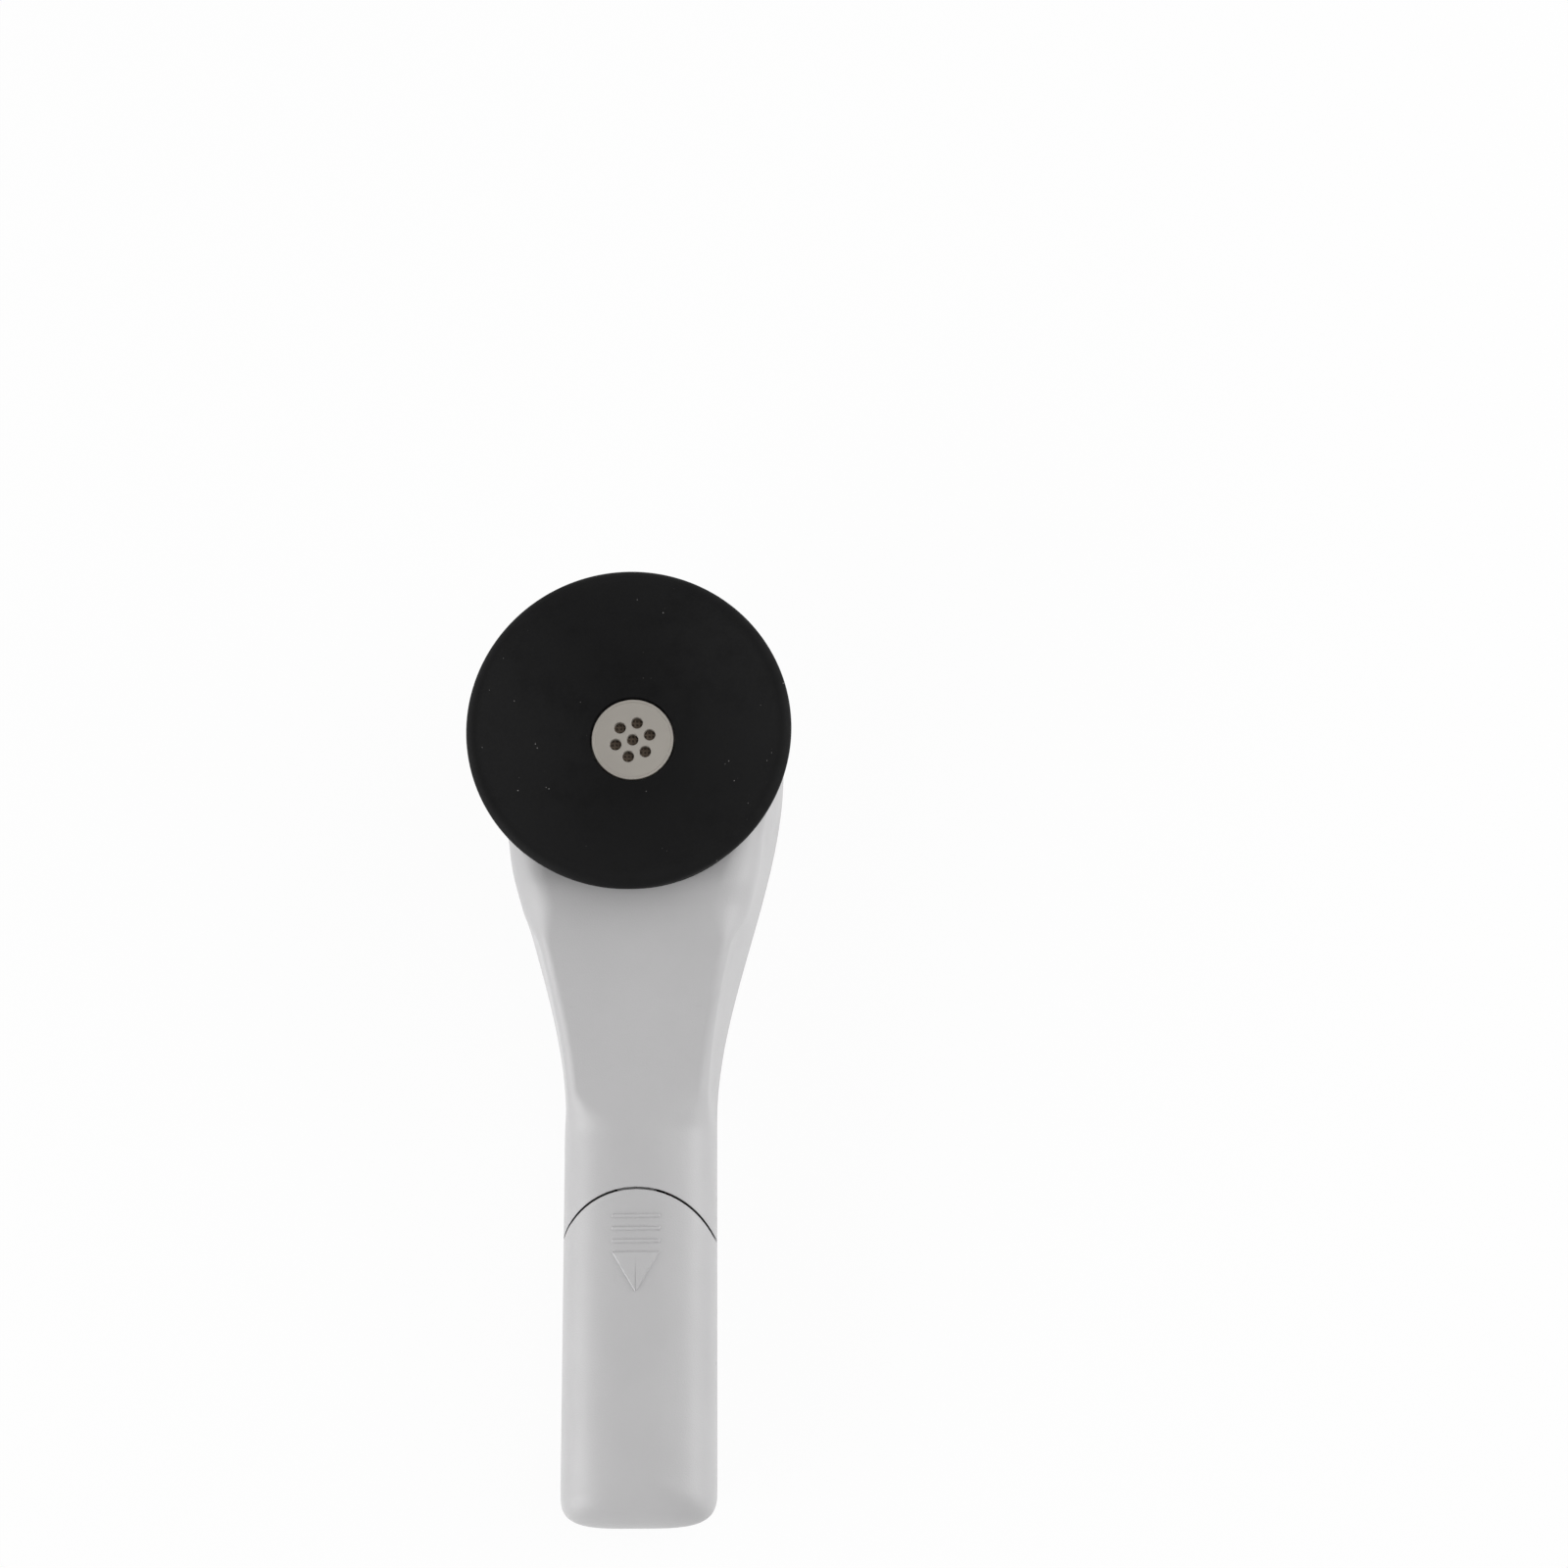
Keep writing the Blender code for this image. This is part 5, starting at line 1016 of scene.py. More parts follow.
# battery cover: finger bars, arrow and latch tongue
coverMarks = {
    "width": 0.0099,
    "barHeight": 0.0009,
    "pitch": 0.0025,
    "bars": 3,
    "drop": 0.0049,             # from the top of the arch down to the first bar
    "arrowHeight": 0.0082,
    "barCorner": 0.0003,
    "arrowCorner": 0.0005,
    "rise": 0.00036,
    "bevel": 0.00022,
    "edge": ((0.9, 1.0), (1.0, 1.3)),       # shares of the rise and the bevel, up the rounded edge
    "root": 0.0006,
    "slices": 15,
}
latchForm = {
    "halfWidth": 0.004,
    "thickness": 0.0012,
    "reach": 0.003,             # beyond the top of the arch
    "start": 0.0038,            # and before it
    "clearance": 0.0003,        # under the front shell's inner skin
    "base": (0.004, 0.001),     # where the block that holds the tongue starts and ends, before the arch's top
    "baseRise": 0.0009,
    "step": 0.0001,             # by which the tongue is narrower and thinner than that block
}


# height of the grip's crown at x, in the stretch where the section stays the same
def crownHeight(x):
    across = min(1.0, abs(x) / casing["gripHalfWidth"]) ** (casing["crownSquareness"] / 2)
    up = math.sqrt(max(0.0, 1 - across**2)) ** (2 / casing["crownSquareness"])
    return frontBase + (casing["gripHeight"] - frontBase) * up


# points along a closed polygon, with the corners rounded
def softPolygon(corners, radius, steps=4, along=10):
    loop = []
    count = len(corners)
    for i in range(count):
        before, here, after = (Vector(corners[(i + k) % count]) for k in (-1, 0, 1))
        end = here + (after - here).normalized() * radius
        stop = after + (here - after).normalized() * radius
        loop += bentCorner(here + (before - here).normalized() * radius, here, end, steps)
        loop += [tuple(end.lerp(stop, k / along)) for k in range(1, along)]
    return loop


# a closed loop moved outwards by growth
def grown(loop, growth):
    ways = [directionAt(loop, i) for i in range(len(loop))]
    return [(x + way.y * growth, y - way.x * growth) for (x, y), way in zip(loop, ways)]


half, rise, bevel = coverMarks["width"] / 2, coverMarks["rise"], coverMarks["bevel"]
marksTop = archTopY - coverMarks["drop"]
shapes = []
for i in range(coverMarks["bars"]):
    high = marksTop - coverMarks["pitch"] * i
    low = high - coverMarks["barHeight"]
    shapes.append(softPolygon(rectangle(-half, half, low, high), coverMarks["barCorner"]))
arrowTop = marksTop - coverMarks["pitch"] * coverMarks["bars"]
arrow = [(-half, arrowTop), (0, arrowTop - coverMarks["arrowHeight"]), (half, arrowTop)]
shapes.append(softPolygon(arrow, coverMarks["arrowCorner"]))
marks = bmesh.new()
levels = [(-coverMarks["root"], 0.0), (0.0, 0.0)]
levels += [(rise * up, -bevel * back) for up, back in coverMarks["edge"]]
for shape in shapes:
    addLevels(marks, lambda growth: grown(shape, growth), levels)
for i in range(1, coverMarks["slices"]):   # narrow strips, so that the marks can follow the crown
    x = half * (2 * i / coverMarks["slices"] - 1)
    bmesh.ops.bisect_plane(marks, geom=marks.verts[:] + marks.edges[:] + marks.faces[:],
                           plane_co=(x, 0, 0), plane_no=(1, 0, 0), dist=weldDistance)
bmesh.ops.triangulate(marks, faces=marks.faces)
for vert in marks.verts:
    vert.co.z += crownHeight(vert.co.x)
combine(batteryCover, marks, "UNION")

top = casing["gripHeight"] - casing["wall"] - latchForm["clearance"]
half, step, foot = latchForm["halfWidth"], latchForm["step"], top - latchForm["thickness"]
baseStart, baseEnd = (archTopY - distance for distance in latchForm["base"])
tongueStart, tongueEnd = archTopY - latchForm["start"], archTopY + latchForm["reach"]
for low, high in (((-half, baseStart, foot), (half, baseEnd, top + latchForm["baseRise"])),
                  ((-half + step, tongueStart, foot + step), (half - step, tongueEnd, top))):
    latch = bmesh.new()
    addBlock(latch, low, high)
    combine(batteryCover, latch, "UNION")
evenShading(batteryCover)
dress(batteryCover, satinGrey, "cover", "shell_plastic", "battery_cover")
print("battery cover made")

# ear cushion
cushion = {
    "holeRadius": 0.00865,
    "base": 0.0406,
    "holeTop": 0.0433,
    "rounding": 0.0005,
    "lip": 0.0019,
    "radius": 0.0325,
    "top": 0.0544,
    "bow": 0.0005,              # how far the dished face hangs below a straight line
    "waistRadius": 0.0298,
    "waistHeight": 0.0415,
    "waistLength": (0.001, 0.0003),     # from its height up to the side and down to the skirt
    "skirtRadius": 0.0302,
    "skirtBase": 0.0383,
    "skirtInner": 0.0278,
    "steps": 160,
    "faceSteps": 24,
    "sideSteps": 13,
    "sharpAngle": 40,
}


def cushionProfile():
    c = cushion
    corner = (c["holeRadius"] + c["rounding"], c["holeTop"] - c["rounding"])
    profile = [(c["holeRadius"], c["base"])] + arcPoints(corner, c["rounding"], 180, 105, 6)
    startRadius, startHeight = profile[-1]
    lipLine = arcPoints((c["radius"] - c["lip"], c["top"] - c["lip"]), c["lip"], 105, -15, 20)
    endRadius, endHeight = lipLine[0]
    for share in (i / c["faceSteps"] for i in range(1, c["faceSteps"])):
        bow = math.sin(math.pi * share) * c["bow"]
        profile.append((startRadius + (endRadius - startRadius) * share,
                        startHeight + (endHeight - startHeight) * share - bow))
    profile += lipLine
    sideRadius, sideHeight = lipLine[-1]
    skirtTop = c["skirtBase"] + c["rounding"]
    above, below = c["waistLength"]         # the side draws in to the waist and out again to the skirt
    for share in (i / c["sideSteps"] for i in range(1, c["sideSteps"])):
        height = sideHeight + (skirtTop - sideHeight) * share
        toWaist = smoothStep(height, sideHeight, c["waistHeight"] + above)
        outAgain = smoothStep(height, c["waistHeight"] - below, skirtTop)
        radius = sideRadius + (c["waistRadius"] - sideRadius) * toWaist
        profile.append((radius + (c["skirtRadius"] - c["waistRadius"]) * outAgain, height))
    profile += arcPoints((c["skirtRadius"] - c["rounding"], skirtTop), c["rounding"], 0, -90, 5)
    profile += [(c["skirtInner"], c["skirtBase"]), (c["skirtInner"], c["base"])]
    return profile


bm = bmesh.new()
addTurned(bm, cushionProfile(), headMiddle, cushion["steps"], closed=True)
earCushion = newObject("ear_cushion_pad", bm, cushion["sharpAngle"])
dress(earCushion, matteSilicone, "cushion", "cushion_silicone", "ear_cushion")

# earphone cap with its sound holes
cap = {
    "plateRadius": 0.0275,
    "base": 0.0383,
    "top": 0.0403,
    "spigotOuter": 0.0244,
    "spigotInner": 0.023,
    "spigotBase": 0.0361,
    "bossRadius": 0.00835,
    "bossTop": 0.0428,
    "ceiling": 0.0415,
    "cavity": 0.00705,
    "rim": 0.0005,
    "rimHeight": 0.0002,
    "rimSlope": 0.0001,
    "holeRadius": 0.00118,
    "holeCircle": 0.0036,
    "holeTurn": 16.0,
    "holes": 6,
    "holeOver": 0.001,          # by how much a cutter stands out at both ends
    "edge": 0.00014,
    "steps": 144,
    "holeSteps": 32,
}


# a profile with its corners rounded, each by no more than the given share of its shorter side
def roundedProfile(corners, radius, steps=3, share=0.45):
    profile = [corners[0]]
    for before, here, after in zip(*([Vector(corner) for corner in corners[k:]] for k in range(3))):
        cut = min(radius, (before - here).length * share, (after - here).length * share)
        start, end = (here + (place - here).normalized() * cut for place in (before, after))
        profile += bentCorner(start, here, end, steps)
    return profile + [corners[-1]]


discTop = cap["bossTop"] - cap["rimHeight"]
bossInner = cap["bossRadius"] - cap["rim"]
profile = [(0, cap["ceiling"]), (cap["cavity"], cap["ceiling"]), (cap["cavity"], cap["base"])]
profile += [(cap[radius], cap[height]) for radius, height in (
    ("spigotInner", "base"), ("spigotInner", "spigotBase"), ("spigotOuter", "spigotBase"),
    ("spigotOuter", "base"), ("plateRadius", "base"))]
profile += [(cap["plateRadius"], cap["top"] - cap["rim"]), (cap["plateRadius"] - cap["rim"], cap["top"]),
            (cap["bossRadius"], cap["top"]), (cap["bossRadius"], cap["bossTop"]), (bossInner, cap["bossTop"]),
            (bossInner - cap["rimSlope"], discTop), (0, discTop)]
bm = bmesh.new()
addTurned(bm, roundedProfile(profile, cap["edge"]), headMiddle, cap["steps"])
earphoneCap = newObject("earphone_cap_body", bm)

turn, radius, over = cap["holeTurn"], cap["holeRadius"], cap["holeOver"]
profile = [(0, cap["ceiling"] - over), (radius, cap["ceiling"] - over)]
profile += [(radius + growth, discTop - drop) for growth, drop in lipArc(cap["edge"])]
profile += [(radius + cap["edge"], discTop + over), (0, discTop + over)]
cutters = bmesh.new()
for place in [headMiddle] + arcPoints(headMiddle, cap["holeCircle"], turn, turn + 360, cap["holes"])[:-1]:
    addTurned(cutters, profile, place, cap["holeSteps"])
combine(earphoneCap, cutters, "DIFFERENCE")
evenShading(earphoneCap)
dress(earphoneCap, creamPlastic, "case", "cap_plastic", "earphone_cap")
print("cushion and cap made")

# keys
flange, stem = keyForm["flange"], -keyForm["stemInset"]
for body in keys:
    node = f"{body}_key"
    low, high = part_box(node)
    levels = [(low.z + dz, growth) for dz, growth in keyForm["crown"]]
    levels += [(keyForm["flangeLow"], 0.0), (keyForm["flangeLow"], flange), (keyForm["flangeHigh"], flange),
               (keyForm["flangeHigh"], stem), (high.z, stem)]
    bm = bmesh.new()
    addLevels(bm, lambda growth: keyOutline(node, growth), levels)
    dress(newObject(f"{body}_cap", bm), keyRubber, body, "key_rubber", node)
print("keys made")

# printed marks on the keys, read from the back, where left and right change places
markPrint = {
    "outside": 0.00003,         # how far the print stands out of the key, and how far it goes in
    "sink": 0.00002,
    "line": 0.00055,
    "half": 0.0013,             # half the width and the height of the marks
    "arrowTip": 0.0014,
    "arrowFoot": 0.0009,
    "swing": 0.0011,
    "wave": 0.0044,
    "waveHalf": 33,             # half the length of the drawn wave, in tenths of a millimetre
    "powerTurns": (38, 323, 6),         # degrees: start, end and step of the broken ring
    "powerLine": 0.8,           # the ring's share of the line's width
    "powerBar": (0.0004, 0.0017),
}


# outline of a line of even width through a row of points
def strip(points, width):
    left, right = [], []
    for i, place in enumerate(points):
        before, after = Vector(points[max(i - 1, 0)]), Vector(points[min(i + 1, len(points) - 1)])
        along = (after - before).normalized()
        side = Vector((-along.y, along.x)) * width / 2
        left.append(tuple(Vector(place) + side))
        right.append(tuple(Vector(place) - side))
    return left + right[::-1]


def markShapes(mark):
    line, half = markPrint["line"], markPrint["half"]
    w = line / 2
    if mark == "minus":
        return [rectangle(-half, half, -w, w)]
    if mark == "plus":
        return [[(-half, -w), (-w, -w), (-w, -half), (w, -half), (w, -w), (half, -w),
                 (half, w), (w, w), (w, half), (-w, half), (-w, w), (-half, w)]]
    if mark in ("left", "right"):
        way = 1 if mark == "right" else -1
        foot = -markPrint["arrowFoot"] * way
        return [[(foot, -half), (markPrint["arrowTip"] * way, 0.0), (foot, half)]]
    if mark == "tone":          # one and a half swings of a pure tone
        places = [x / 10000 for x in range(-markPrint["waveHalf"], markPrint["waveHalf"] + 1)]
        heights = [markPrint["swing"] * math.sin(math.tau * x / markPrint["wave"]) for x in places]
        return [strip(list(zip(places, heights)), line)]
    width = line * markPrint["powerLine"]
    turns = [math.radians(turn) for turn in range(*markPrint["powerTurns"])]
    ring = [(half * math.sin(turn), half * math.cos(turn)) for turn in turns]
    return [strip(ring, width), rectangle(-width / 2, width / 2, *markPrint["powerBar"])]


for body, mark in keys.items():
    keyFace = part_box(f"{body}_key")[0].z
    x0, y0 = middleOf(f"{body}_key")
    bm = bmesh.new()
    for shape in markShapes(mark):
        loop = [(x0 - x, y0 + y) for x, y in shape]
        addPrism(bm, loop, keyFace - markPrint["outside"], keyFace + markPrint["sink"])
    dress(newObject(f"{body}_mark", bm), markInk, body, "white_nylon")
print("key marks printed")

# display: the window, and a dark frame printed round the viewing area just inside it
windowForm = {
    "corner": 0.002,
    "edge": 0.00015,
    "edgeStep": 0.3,            # share of the edge that its first, flatter step takes
    "maskLow": 0.00114,
    "maskHigh": 0.00124,
    "maskInset": 0.0002,
    "maskWidth": 0.0036,
    "maskCorners": (0.0018, 0.0012),    # outside and inside
}
low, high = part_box("lcd_window")
halfWidth, halfHeight = halfSize("lcd_window")
edge = windowForm["edge"]
step = edge * windowForm["edgeStep"]


def windowOutline(growth, corner):
    return roundedBox(headMiddle, halfWidth + growth, halfHeight + growth, corner)


bm = bmesh.new()
addLevels(bm, lambda growth: windowOutline(growth, windowForm["corner"] + growth),
          [(low.z, -edge), (low.z + step, -step), (low.z + edge, 0.0), (high.z - edge, 0.0), (high.z, -edge)])
dress(newObject("display_window", bm), clearWindow, "case", "window_lens", "lcd_window")

outer, inner = (windowOutline(-windowForm[inset], corner)
                for inset, corner in zip(("maskInset", "maskWidth"), windowForm["maskCorners"]))
bm = bmesh.new()
levels = ((outer, "maskLow"), (outer, "maskHigh"), (inner, "maskHigh"), (inner, "maskLow"))
joinRings(bm, [[bm.verts.new((x, y, windowForm[z])) for x, y in loop] for loop, z in levels], closed=True)
dress(newObject("display_mask", bm), maskInk, "case", "black_plastic")

digitForm = {
    "height": 0.0058,
    "width": 0.0031,
    "pitch": 0.0045,
    "stroke": 0.00062,
    "gap": 0.00011,
    "slant": 0.08,
    "thickness": 0.00008,
    "unlitShare": 0.3,          # of the thickness, for the digits that are off
    "sink": 0.00001,
    "places": 4,
    "lines": ((0.0042, "1000"), (-0.0042, "40")),       # test tone in hertz, and its level in decibels
}
segmentsOf = {
    "0": "abcdef", "1": "bc", "2": "abged", "3": "abgcd", "4": "fgbc",
    "5": "afgcd", "6": "afgedc", "7": "abc", "8": "abcdefg", "9": "abcdfg",
}


# the six-cornered segments of one digit, as name: loop
def segmentLoops():
    h, w, s, g = digitForm["height"] / 2, digitForm["width"] / 2, digitForm["stroke"] / 2, digitForm["gap"]

    def bar(x0, x1, y):
        a, b = x0 + g, x1 - g
        return [(a, y), (a + s, y + s), (b - s, y + s), (b, y), (b - s, y - s), (a + s, y - s)]

    def post(x, y0, y1):
        a, b = y0 + g, y1 - g
        return [(x, a), (x + s, a + s), (x + s, b - s), (x, b), (x - s, b - s), (x - s, a + s)]

    return {"a": bar(-w, w, h), "g": bar(-w, w, 0), "d": bar(-w, w, -h),
            "f": post(-w, 0, h), "b": post(w, 0, h), "e": post(-w, -h, 0), "c": post(w, -h, 0)}


lit, unlit = bmesh.new(), bmesh.new()
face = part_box("lcd_panel")[0].z - digitForm["sink"]
litLow = face - digitForm["sink"] - digitForm["thickness"]
unlitLow = face - digitForm["thickness"] * digitForm["unlitShare"]
for rise, line in digitForm["lines"]:
    for place, digit in enumerate(line.rjust(digitForm["places"])):
        x0 = (place - (digitForm["places"] - 1) / 2) * digitForm["pitch"]
        for name, loop in segmentLoops().items():
            shape = [(-(x0 + x + y * digitForm["slant"]), headY + rise + y) for x, y in loop]
            if name in segmentsOf.get(digit, ""):
                addPrism(lit, shape, litLow, face)
            else:
                addPrism(unlit, shape, unlitLow, face)
dress(newObject("display_digits", lit), digitInk, "case", "black_plastic")
dress(newObject("display_unlit_digits", unlit), ghostInk, "case", "display_glass")
print("display made")

# screws in the back
screwForm = {
    "headHeight": 0.0016,
    "dome": 0.0003,
    "crown": ((0.45, 0.12), (0.8, 0.55), (0.94, 1.0), (1.0, 1.8)),      # shares of radius and dome
    "headChamfer": 0.0001,
    "slotWidth": 0.0006,
    "slotDepth": 0.0007,
    "slotHalf": 0.003,
    "slotTurns": (25, 67),      # degrees: the first screw's turn and what each next one adds
    "shankRadius": 0.0011,
    "pitch": 0.0008,
    "threadDepth": 0.00022,
    "threadStart": 0.0006,      # under the head
    "threadEnd": 0.0018,        # before the point
    "point": (0.0002, 0.0011),  # how much thinner the shank is at the taper, and the taper's length
    "steps": 40,
}
headRadius, shank = fastening["headRadius"], screwForm["shankRadius"]
for i, place in enumerate(screwPlaces):
    name = f"housing_screw_{i + 1}"
    low, high = (corner.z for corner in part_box(name))
    base = low + screwForm["headHeight"]
    profile = [(0, low)]
    profile += [(headRadius * out, low + screwForm["dome"] * up) for out, up in screwForm["crown"]]
    profile += [(headRadius, base - screwForm["headChamfer"]), (headRadius - screwForm["headChamfer"], base),
                (shank, base)]
    z = base + screwForm["threadStart"]
    while z < high - screwForm["threadEnd"]:        # rolled thread, a little inside the clearance
        profile += [(shank - screwForm["threadDepth"], z), (shank, z + screwForm["pitch"] / 2)]
        z += screwForm["pitch"]
    thinner, taper = screwForm["point"]
    profile += [(shank - thinner, high - taper), (0, high)]
    bm = bmesh.new()
    addTurned(bm, profile, place, screwForm["steps"])
    piece = newObject(f"casing_screw_{i + 1}", bm)
    slot = bmesh.new()
    half, width = screwForm["slotHalf"], screwForm["slotWidth"] / 2
    turn = math.radians(screwForm["slotTurns"][0] + screwForm["slotTurns"][1] * i)
    across, along = math.cos(turn), math.sin(turn)
    turned = [(place[0] + x * across - y * along, place[1] + x * along + y * across)
              for x, y in rectangle(-half, half, -width, width)]
    addPrism(slot, turned, low - opening["over"], low + screwForm["slotDepth"])
    combine(piece, slot, "DIFFERENCE")
    evenShading(piece)
    dress(piece, zincSteel, "case", "plated_steel", name)
print("screws made")

# cloth behind the sound holes: a grid of two faces, closed round its rim
clothForm = {"thread": 0.00042, "amplitude": 0.00007, "steps": 110}
low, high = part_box("grille_cloth")
radius = halfSize("grille_cloth")[0]
steps, turnPerLength = clothForm["steps"], math.pi / clothForm["thread"]
bm = bmesh.new()
sheet = {}
for level, sign in ((low.z, -1), (high.z, 1)):
    for i in range(steps + 1):
        for j in range(steps + 1):
            x, y = ((2 * k / steps - 1) * radius for k in (i, j))
            if math.hypot(x, y) <= radius:
                wave = math.sin(turnPerLength * x) * math.sin(turnPerLength * y)
                z = level - sign * clothForm["amplitude"] * (1 - wave)
                sheet[i, j, sign] = bm.verts.new((x, headY + y, z))
for i in range(steps):
    for j in range(steps):
        for sign in (-1, 1):
            corners = [sheet.get((a, b, sign)) for a, b in ((i, j), (i + 1, j), (i + 1, j + 1), (i, j + 1))]
            if all(corners):
                bm.faces.new(corners)
bmesh.ops.delete(bm, geom=[v for v in bm.verts if not v.link_faces], context="VERTS")
bmesh.ops.bridge_loops(bm, edges=[e for e in bm.edges if e.is_boundary])
dress(newObject("sound_cloth", bm), speakerCloth, "case", "grille_cloth", "grille_cloth")

# battery, with a crimped metal rim at both ends
batteryForm = {
    "corner": 0.0025,
    "rim": 0.0007,
    "sink": 0.0005,
    "sunkEnd": ((1.0, -1.5), (0.5, -1.2)),      # shares of the sink along, and of the rim across
    "roll": ((0.0, -0.9), (0.0, -0.4), (0.5, 0.0), (1.6, 0.0)),     # shares of the rim along and across
    "jacketStart": 1.8,
    "jacketInset": 0.00012,
}
low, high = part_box("battery")
middleXZ = ((low.x + high.x) / 2, (low.z + high.z) / 2)
halfX, halfZ, corner = (high.x - low.x) / 2, (high.z - low.z) / 2, batteryForm["corner"]
rim, sink = batteryForm["rim"], batteryForm["sink"]
profile = [(low.y + sink * along, rim * across) for along, across in batteryForm["sunkEnd"]]
profile += [(low.y + rim * along, rim * across) for along, across in batteryForm["roll"]]
profile += [(low.y + rim * batteryForm["jacketStart"], -batteryForm["jacketInset"])]
profile += [(low.y + high.y - y, growth) for y, growth in profile[::-1]]
bm = bmesh.new()
addStack(bm, [[(x, y, z) for x, z in roundedBox(middleXZ, halfX + growth, halfZ + growth, corner + growth)]
              for y, growth in profile])
dress(newObject("battery_case", bm), batteryJacket, "case", "battery_jacket", "battery")

low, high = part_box("battery_foam")
bm = bmesh.new()
addBlock(bm, low, high)
bmesh.ops.subdivide_edges(bm, edges=bm.edges, cuts=5, use_grid_fill=True)
dress(newObject("foam_pad", bm), openFoam, "case", "foam", "battery_foam")
print("cloth, battery and foam made")

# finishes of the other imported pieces, and the widths of their soft edges
finishes = {
    blackPlastic: ("lcd_frame", "driver_frame", "snap_connector"),
    chipResin: ("processor_chip", "amplifier_chip"),
    lcdGlass: ("lcd_panel",),
    zebraRubber: ("upper_zebra_strip", "lower_zebra_strip"),
    greenBoard: ("main_board",),
    matRubber: ("keypad_mat",),
    zincSteel: ("driver_magnet", "driver_clamp", "board_screw_1", "board_screw_2",
                "driver_screw_1", "driver_screw_2", "driver_screw_3"),
    nickelSteel: ("positive_terminal", "negative_terminal", "crystal_can"),
    copperWinding: ("voice_coil",),
    amberFilm: ("driver_diaphragm",),
    openFoam: ("driver_gasket",),
    capacitorSleeve: ("left_capacitor", "right_capacitor"),
    whiteNylon: ("driver_lead_header", "battery_lead_header"),
    redInsulation: ("battery_lead_red", "driver_lead_red"),
    blackInsulation: ("battery_lead_black", "driver_lead_black"),
}
softEdges = {
    0.0004: ("snap_connector",),
    0.0003: ("positive_terminal", "negative_terminal", "crystal_can", "driver_magnet"),
    0.0002: ("driver_lead_header", "battery_lead_header"),
    0.00012: ("processor_chip", "amplifier_chip"),
    0.0001: ("lcd_frame", "keypad_mat", "driver_clamp", "lcd_panel"),
    0.00008: ("main_board",),
}
softAngle = 40           # degrees from which an edge is softened
for material, nodes in finishes.items():
    for node in nodes:
        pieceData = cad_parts[node].data
        pieceData.materials.clear()
        pieceData.materials.append(material)
for width, nodes in softEdges.items():
    for piece in (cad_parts[node] for node in nodes):
        bevel = piece.modifiers.new("softEdges", "BEVEL")
        bevel.width, bevel.segments = width, 3
        bevel.limit_method, bevel.angle_limit = "ANGLE", math.radians(softAngle)
        evenShading(piece)
print("finishes placed")

# room, light and camera
room = {
    "floorHalf": 1.2,
    "floorHeight": -0.0001,
    "seeThroughBelow": 0.002,       # shorter rays pass the floor, so that the back is lit from below
    "floorColour": (0.86, 0.86, 0.86),
    "floorRoughness": 0.9,
    "glow": 0.93,                   # share of plain white that the camera sees on the floor
    "worldLight": 0.42,
    "worldColour": (1.0, 0.995, 0.995),
    "lampSide": 0.7,
    "lampAim": (0, 0, 0.02),
}
white = (1.0, 1.0, 1.0)


# 1 for rays that show the background: from the camera, in gloss and through glass
def backgroundRays(tree):
    path = makeNode(tree, "LightPath").outputs
    mirrored = mathNode(tree, "ADD", path["Is Glossy Ray"], path["Is Transmission Ray"])
    return mathNode(tree, "ADD", path["Is Camera Ray"], mirrored, clamp=True)


def mixShaders(tree, share, first, second):
    mix = makeNode(tree, "MixShader", Fac=share)
    for index, shader in ((1, first), (2, second)):
        tree.links.new(shader.outputs[0], mix.inputs[index])
    return mix


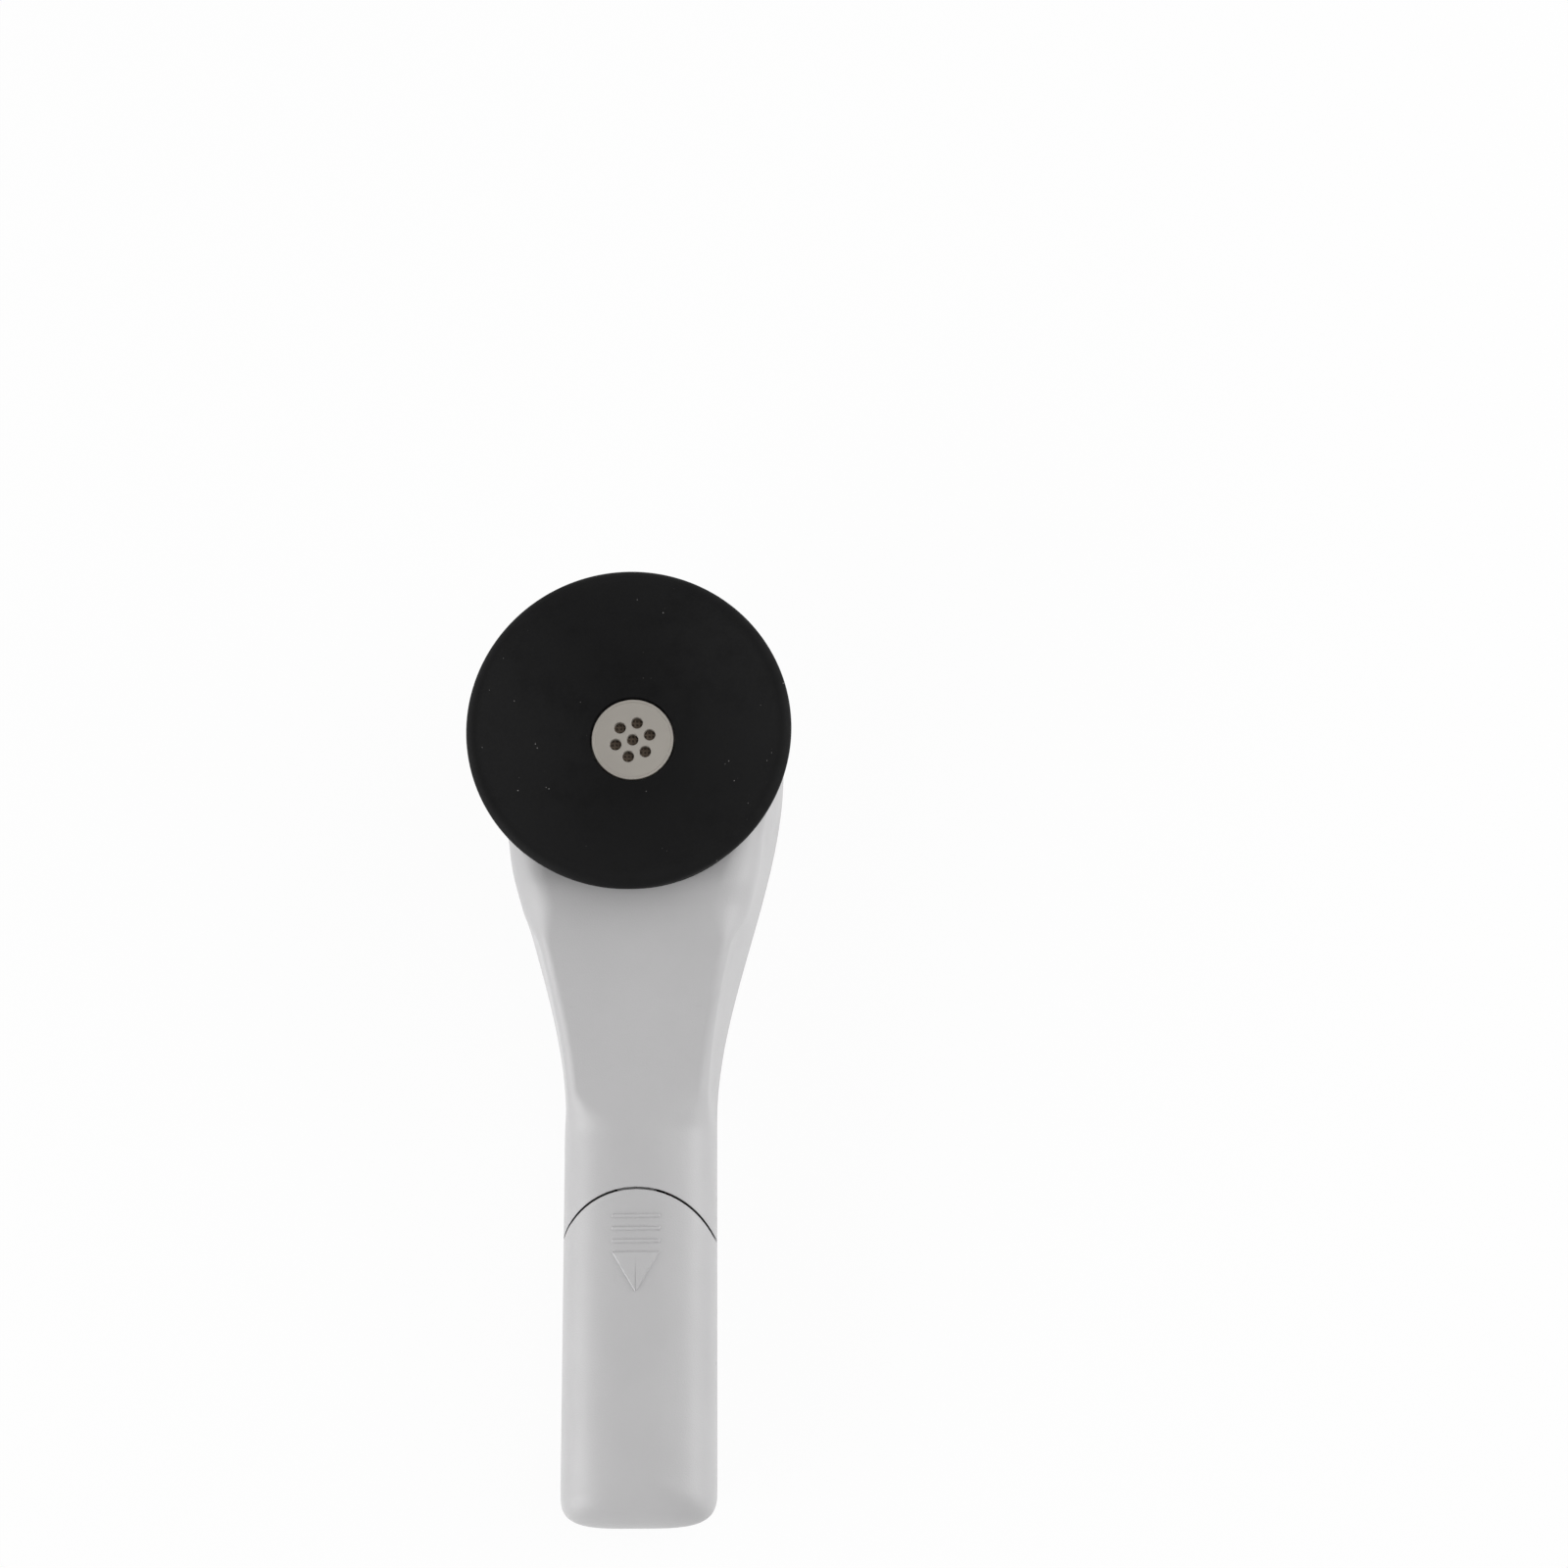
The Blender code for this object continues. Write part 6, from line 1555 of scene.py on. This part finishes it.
bm = bmesh.new()
half = room["floorHalf"]
bm.faces.new([bm.verts.new((x, y, room["floorHeight"])) for x, y in rectangle(-half, half, -half, half)])
floor = newObject("floor", bm)
floorMaterial, tree, shader = newMaterial("paleFloor")
fill(tree, shader, Base_Color=room["floorColour"], Roughness=room["floorRoughness"], Specular_IOR_Level=0.0)
glow = makeNode(tree, "Emission", Color=white)
lit = mixShaders(tree, multiply(tree, backgroundRays(tree), room["glow"]), shader, glow)
near = mathNode(tree, "LESS_THAN", makeNode(tree, "LightPath").outputs["Ray Length"], room["seeThroughBelow"])
below = mathNode(tree, "MAXIMUM", near, makeNode(tree, "NewGeometry").outputs["Backfacing"])
surface = mixShaders(tree, below, lit, makeNode(tree, "BsdfTransparent"))
fill(tree, tree.nodes["Material Output"], Surface=surface.outputs[0])
floor.data.materials.append(floorMaterial)

world = bpy.data.worlds.new("studio")
bpy.context.scene.world = world
world.use_nodes = True
tree = world.node_tree
light = fill(tree, tree.nodes["Background"], Color=room["worldColour"], Strength=room["worldLight"])
surface = mixShaders(tree, backgroundRays(tree), light, makeNode(tree, "Background", Color=white))
fill(tree, tree.nodes["World Output"], Surface=surface.outputs[0])

lamps = {
    "leftPanel": {"place": (-0.88, 0, 0.207), "power": 2.7},
    "rightPanel": {"place": (0.88, 0, 0.207), "power": 3.8},
    "frontLeftPanel": {"place": (-0.712, -0.499, 0.253), "power": 4.6},
    "backLeftPanel": {"place": (-0.615, 0.615, 0.253), "power": 1.3},
    "backRightPanel": {"place": (0.615, 0.615, 0.253), "power": 1.9},
    "highPanel": {"place": (0.45, 0.1, 0.78), "power": 1.9},
}
view = {
    "lens": 55.50,
    "sensor": 36.0,
    "place": (0.0383, -0.0526, 0.5209),
    "turn": (12.377, 0.983, -0.376),
}


def addHolder(name, data, place, turn):
    holder = bpy.data.objects.new(name, data)
    holder.location, holder.rotation_euler = place, turn
    bpy.context.scene.collection.objects.link(holder)
    return holder


for name, look in lamps.items():
    lamp = bpy.data.lights.new(name, "AREA")
    lamp.shape, lamp.energy = "RECTANGLE", look["power"]
    lamp.size, lamp.size_y = room["lampSide"], room["lampSide"]
    aim = Vector(room["lampAim"]) - Vector(look["place"])
    addHolder(name, lamp, look["place"], aim.to_track_quat("-Z", "Y").to_euler())
camera = bpy.data.cameras.new("photoView")
camera.lens, camera.sensor_width = view["lens"], view["sensor"]
cameraTurn = Euler([math.radians(turn) for turn in view["turn"]])
bpy.context.scene.camera = addHolder("photoView", camera, view["place"], cameraTurn)
bpy.context.scene.view_settings.view_transform = "Standard"
print("room, lamps and camera set")
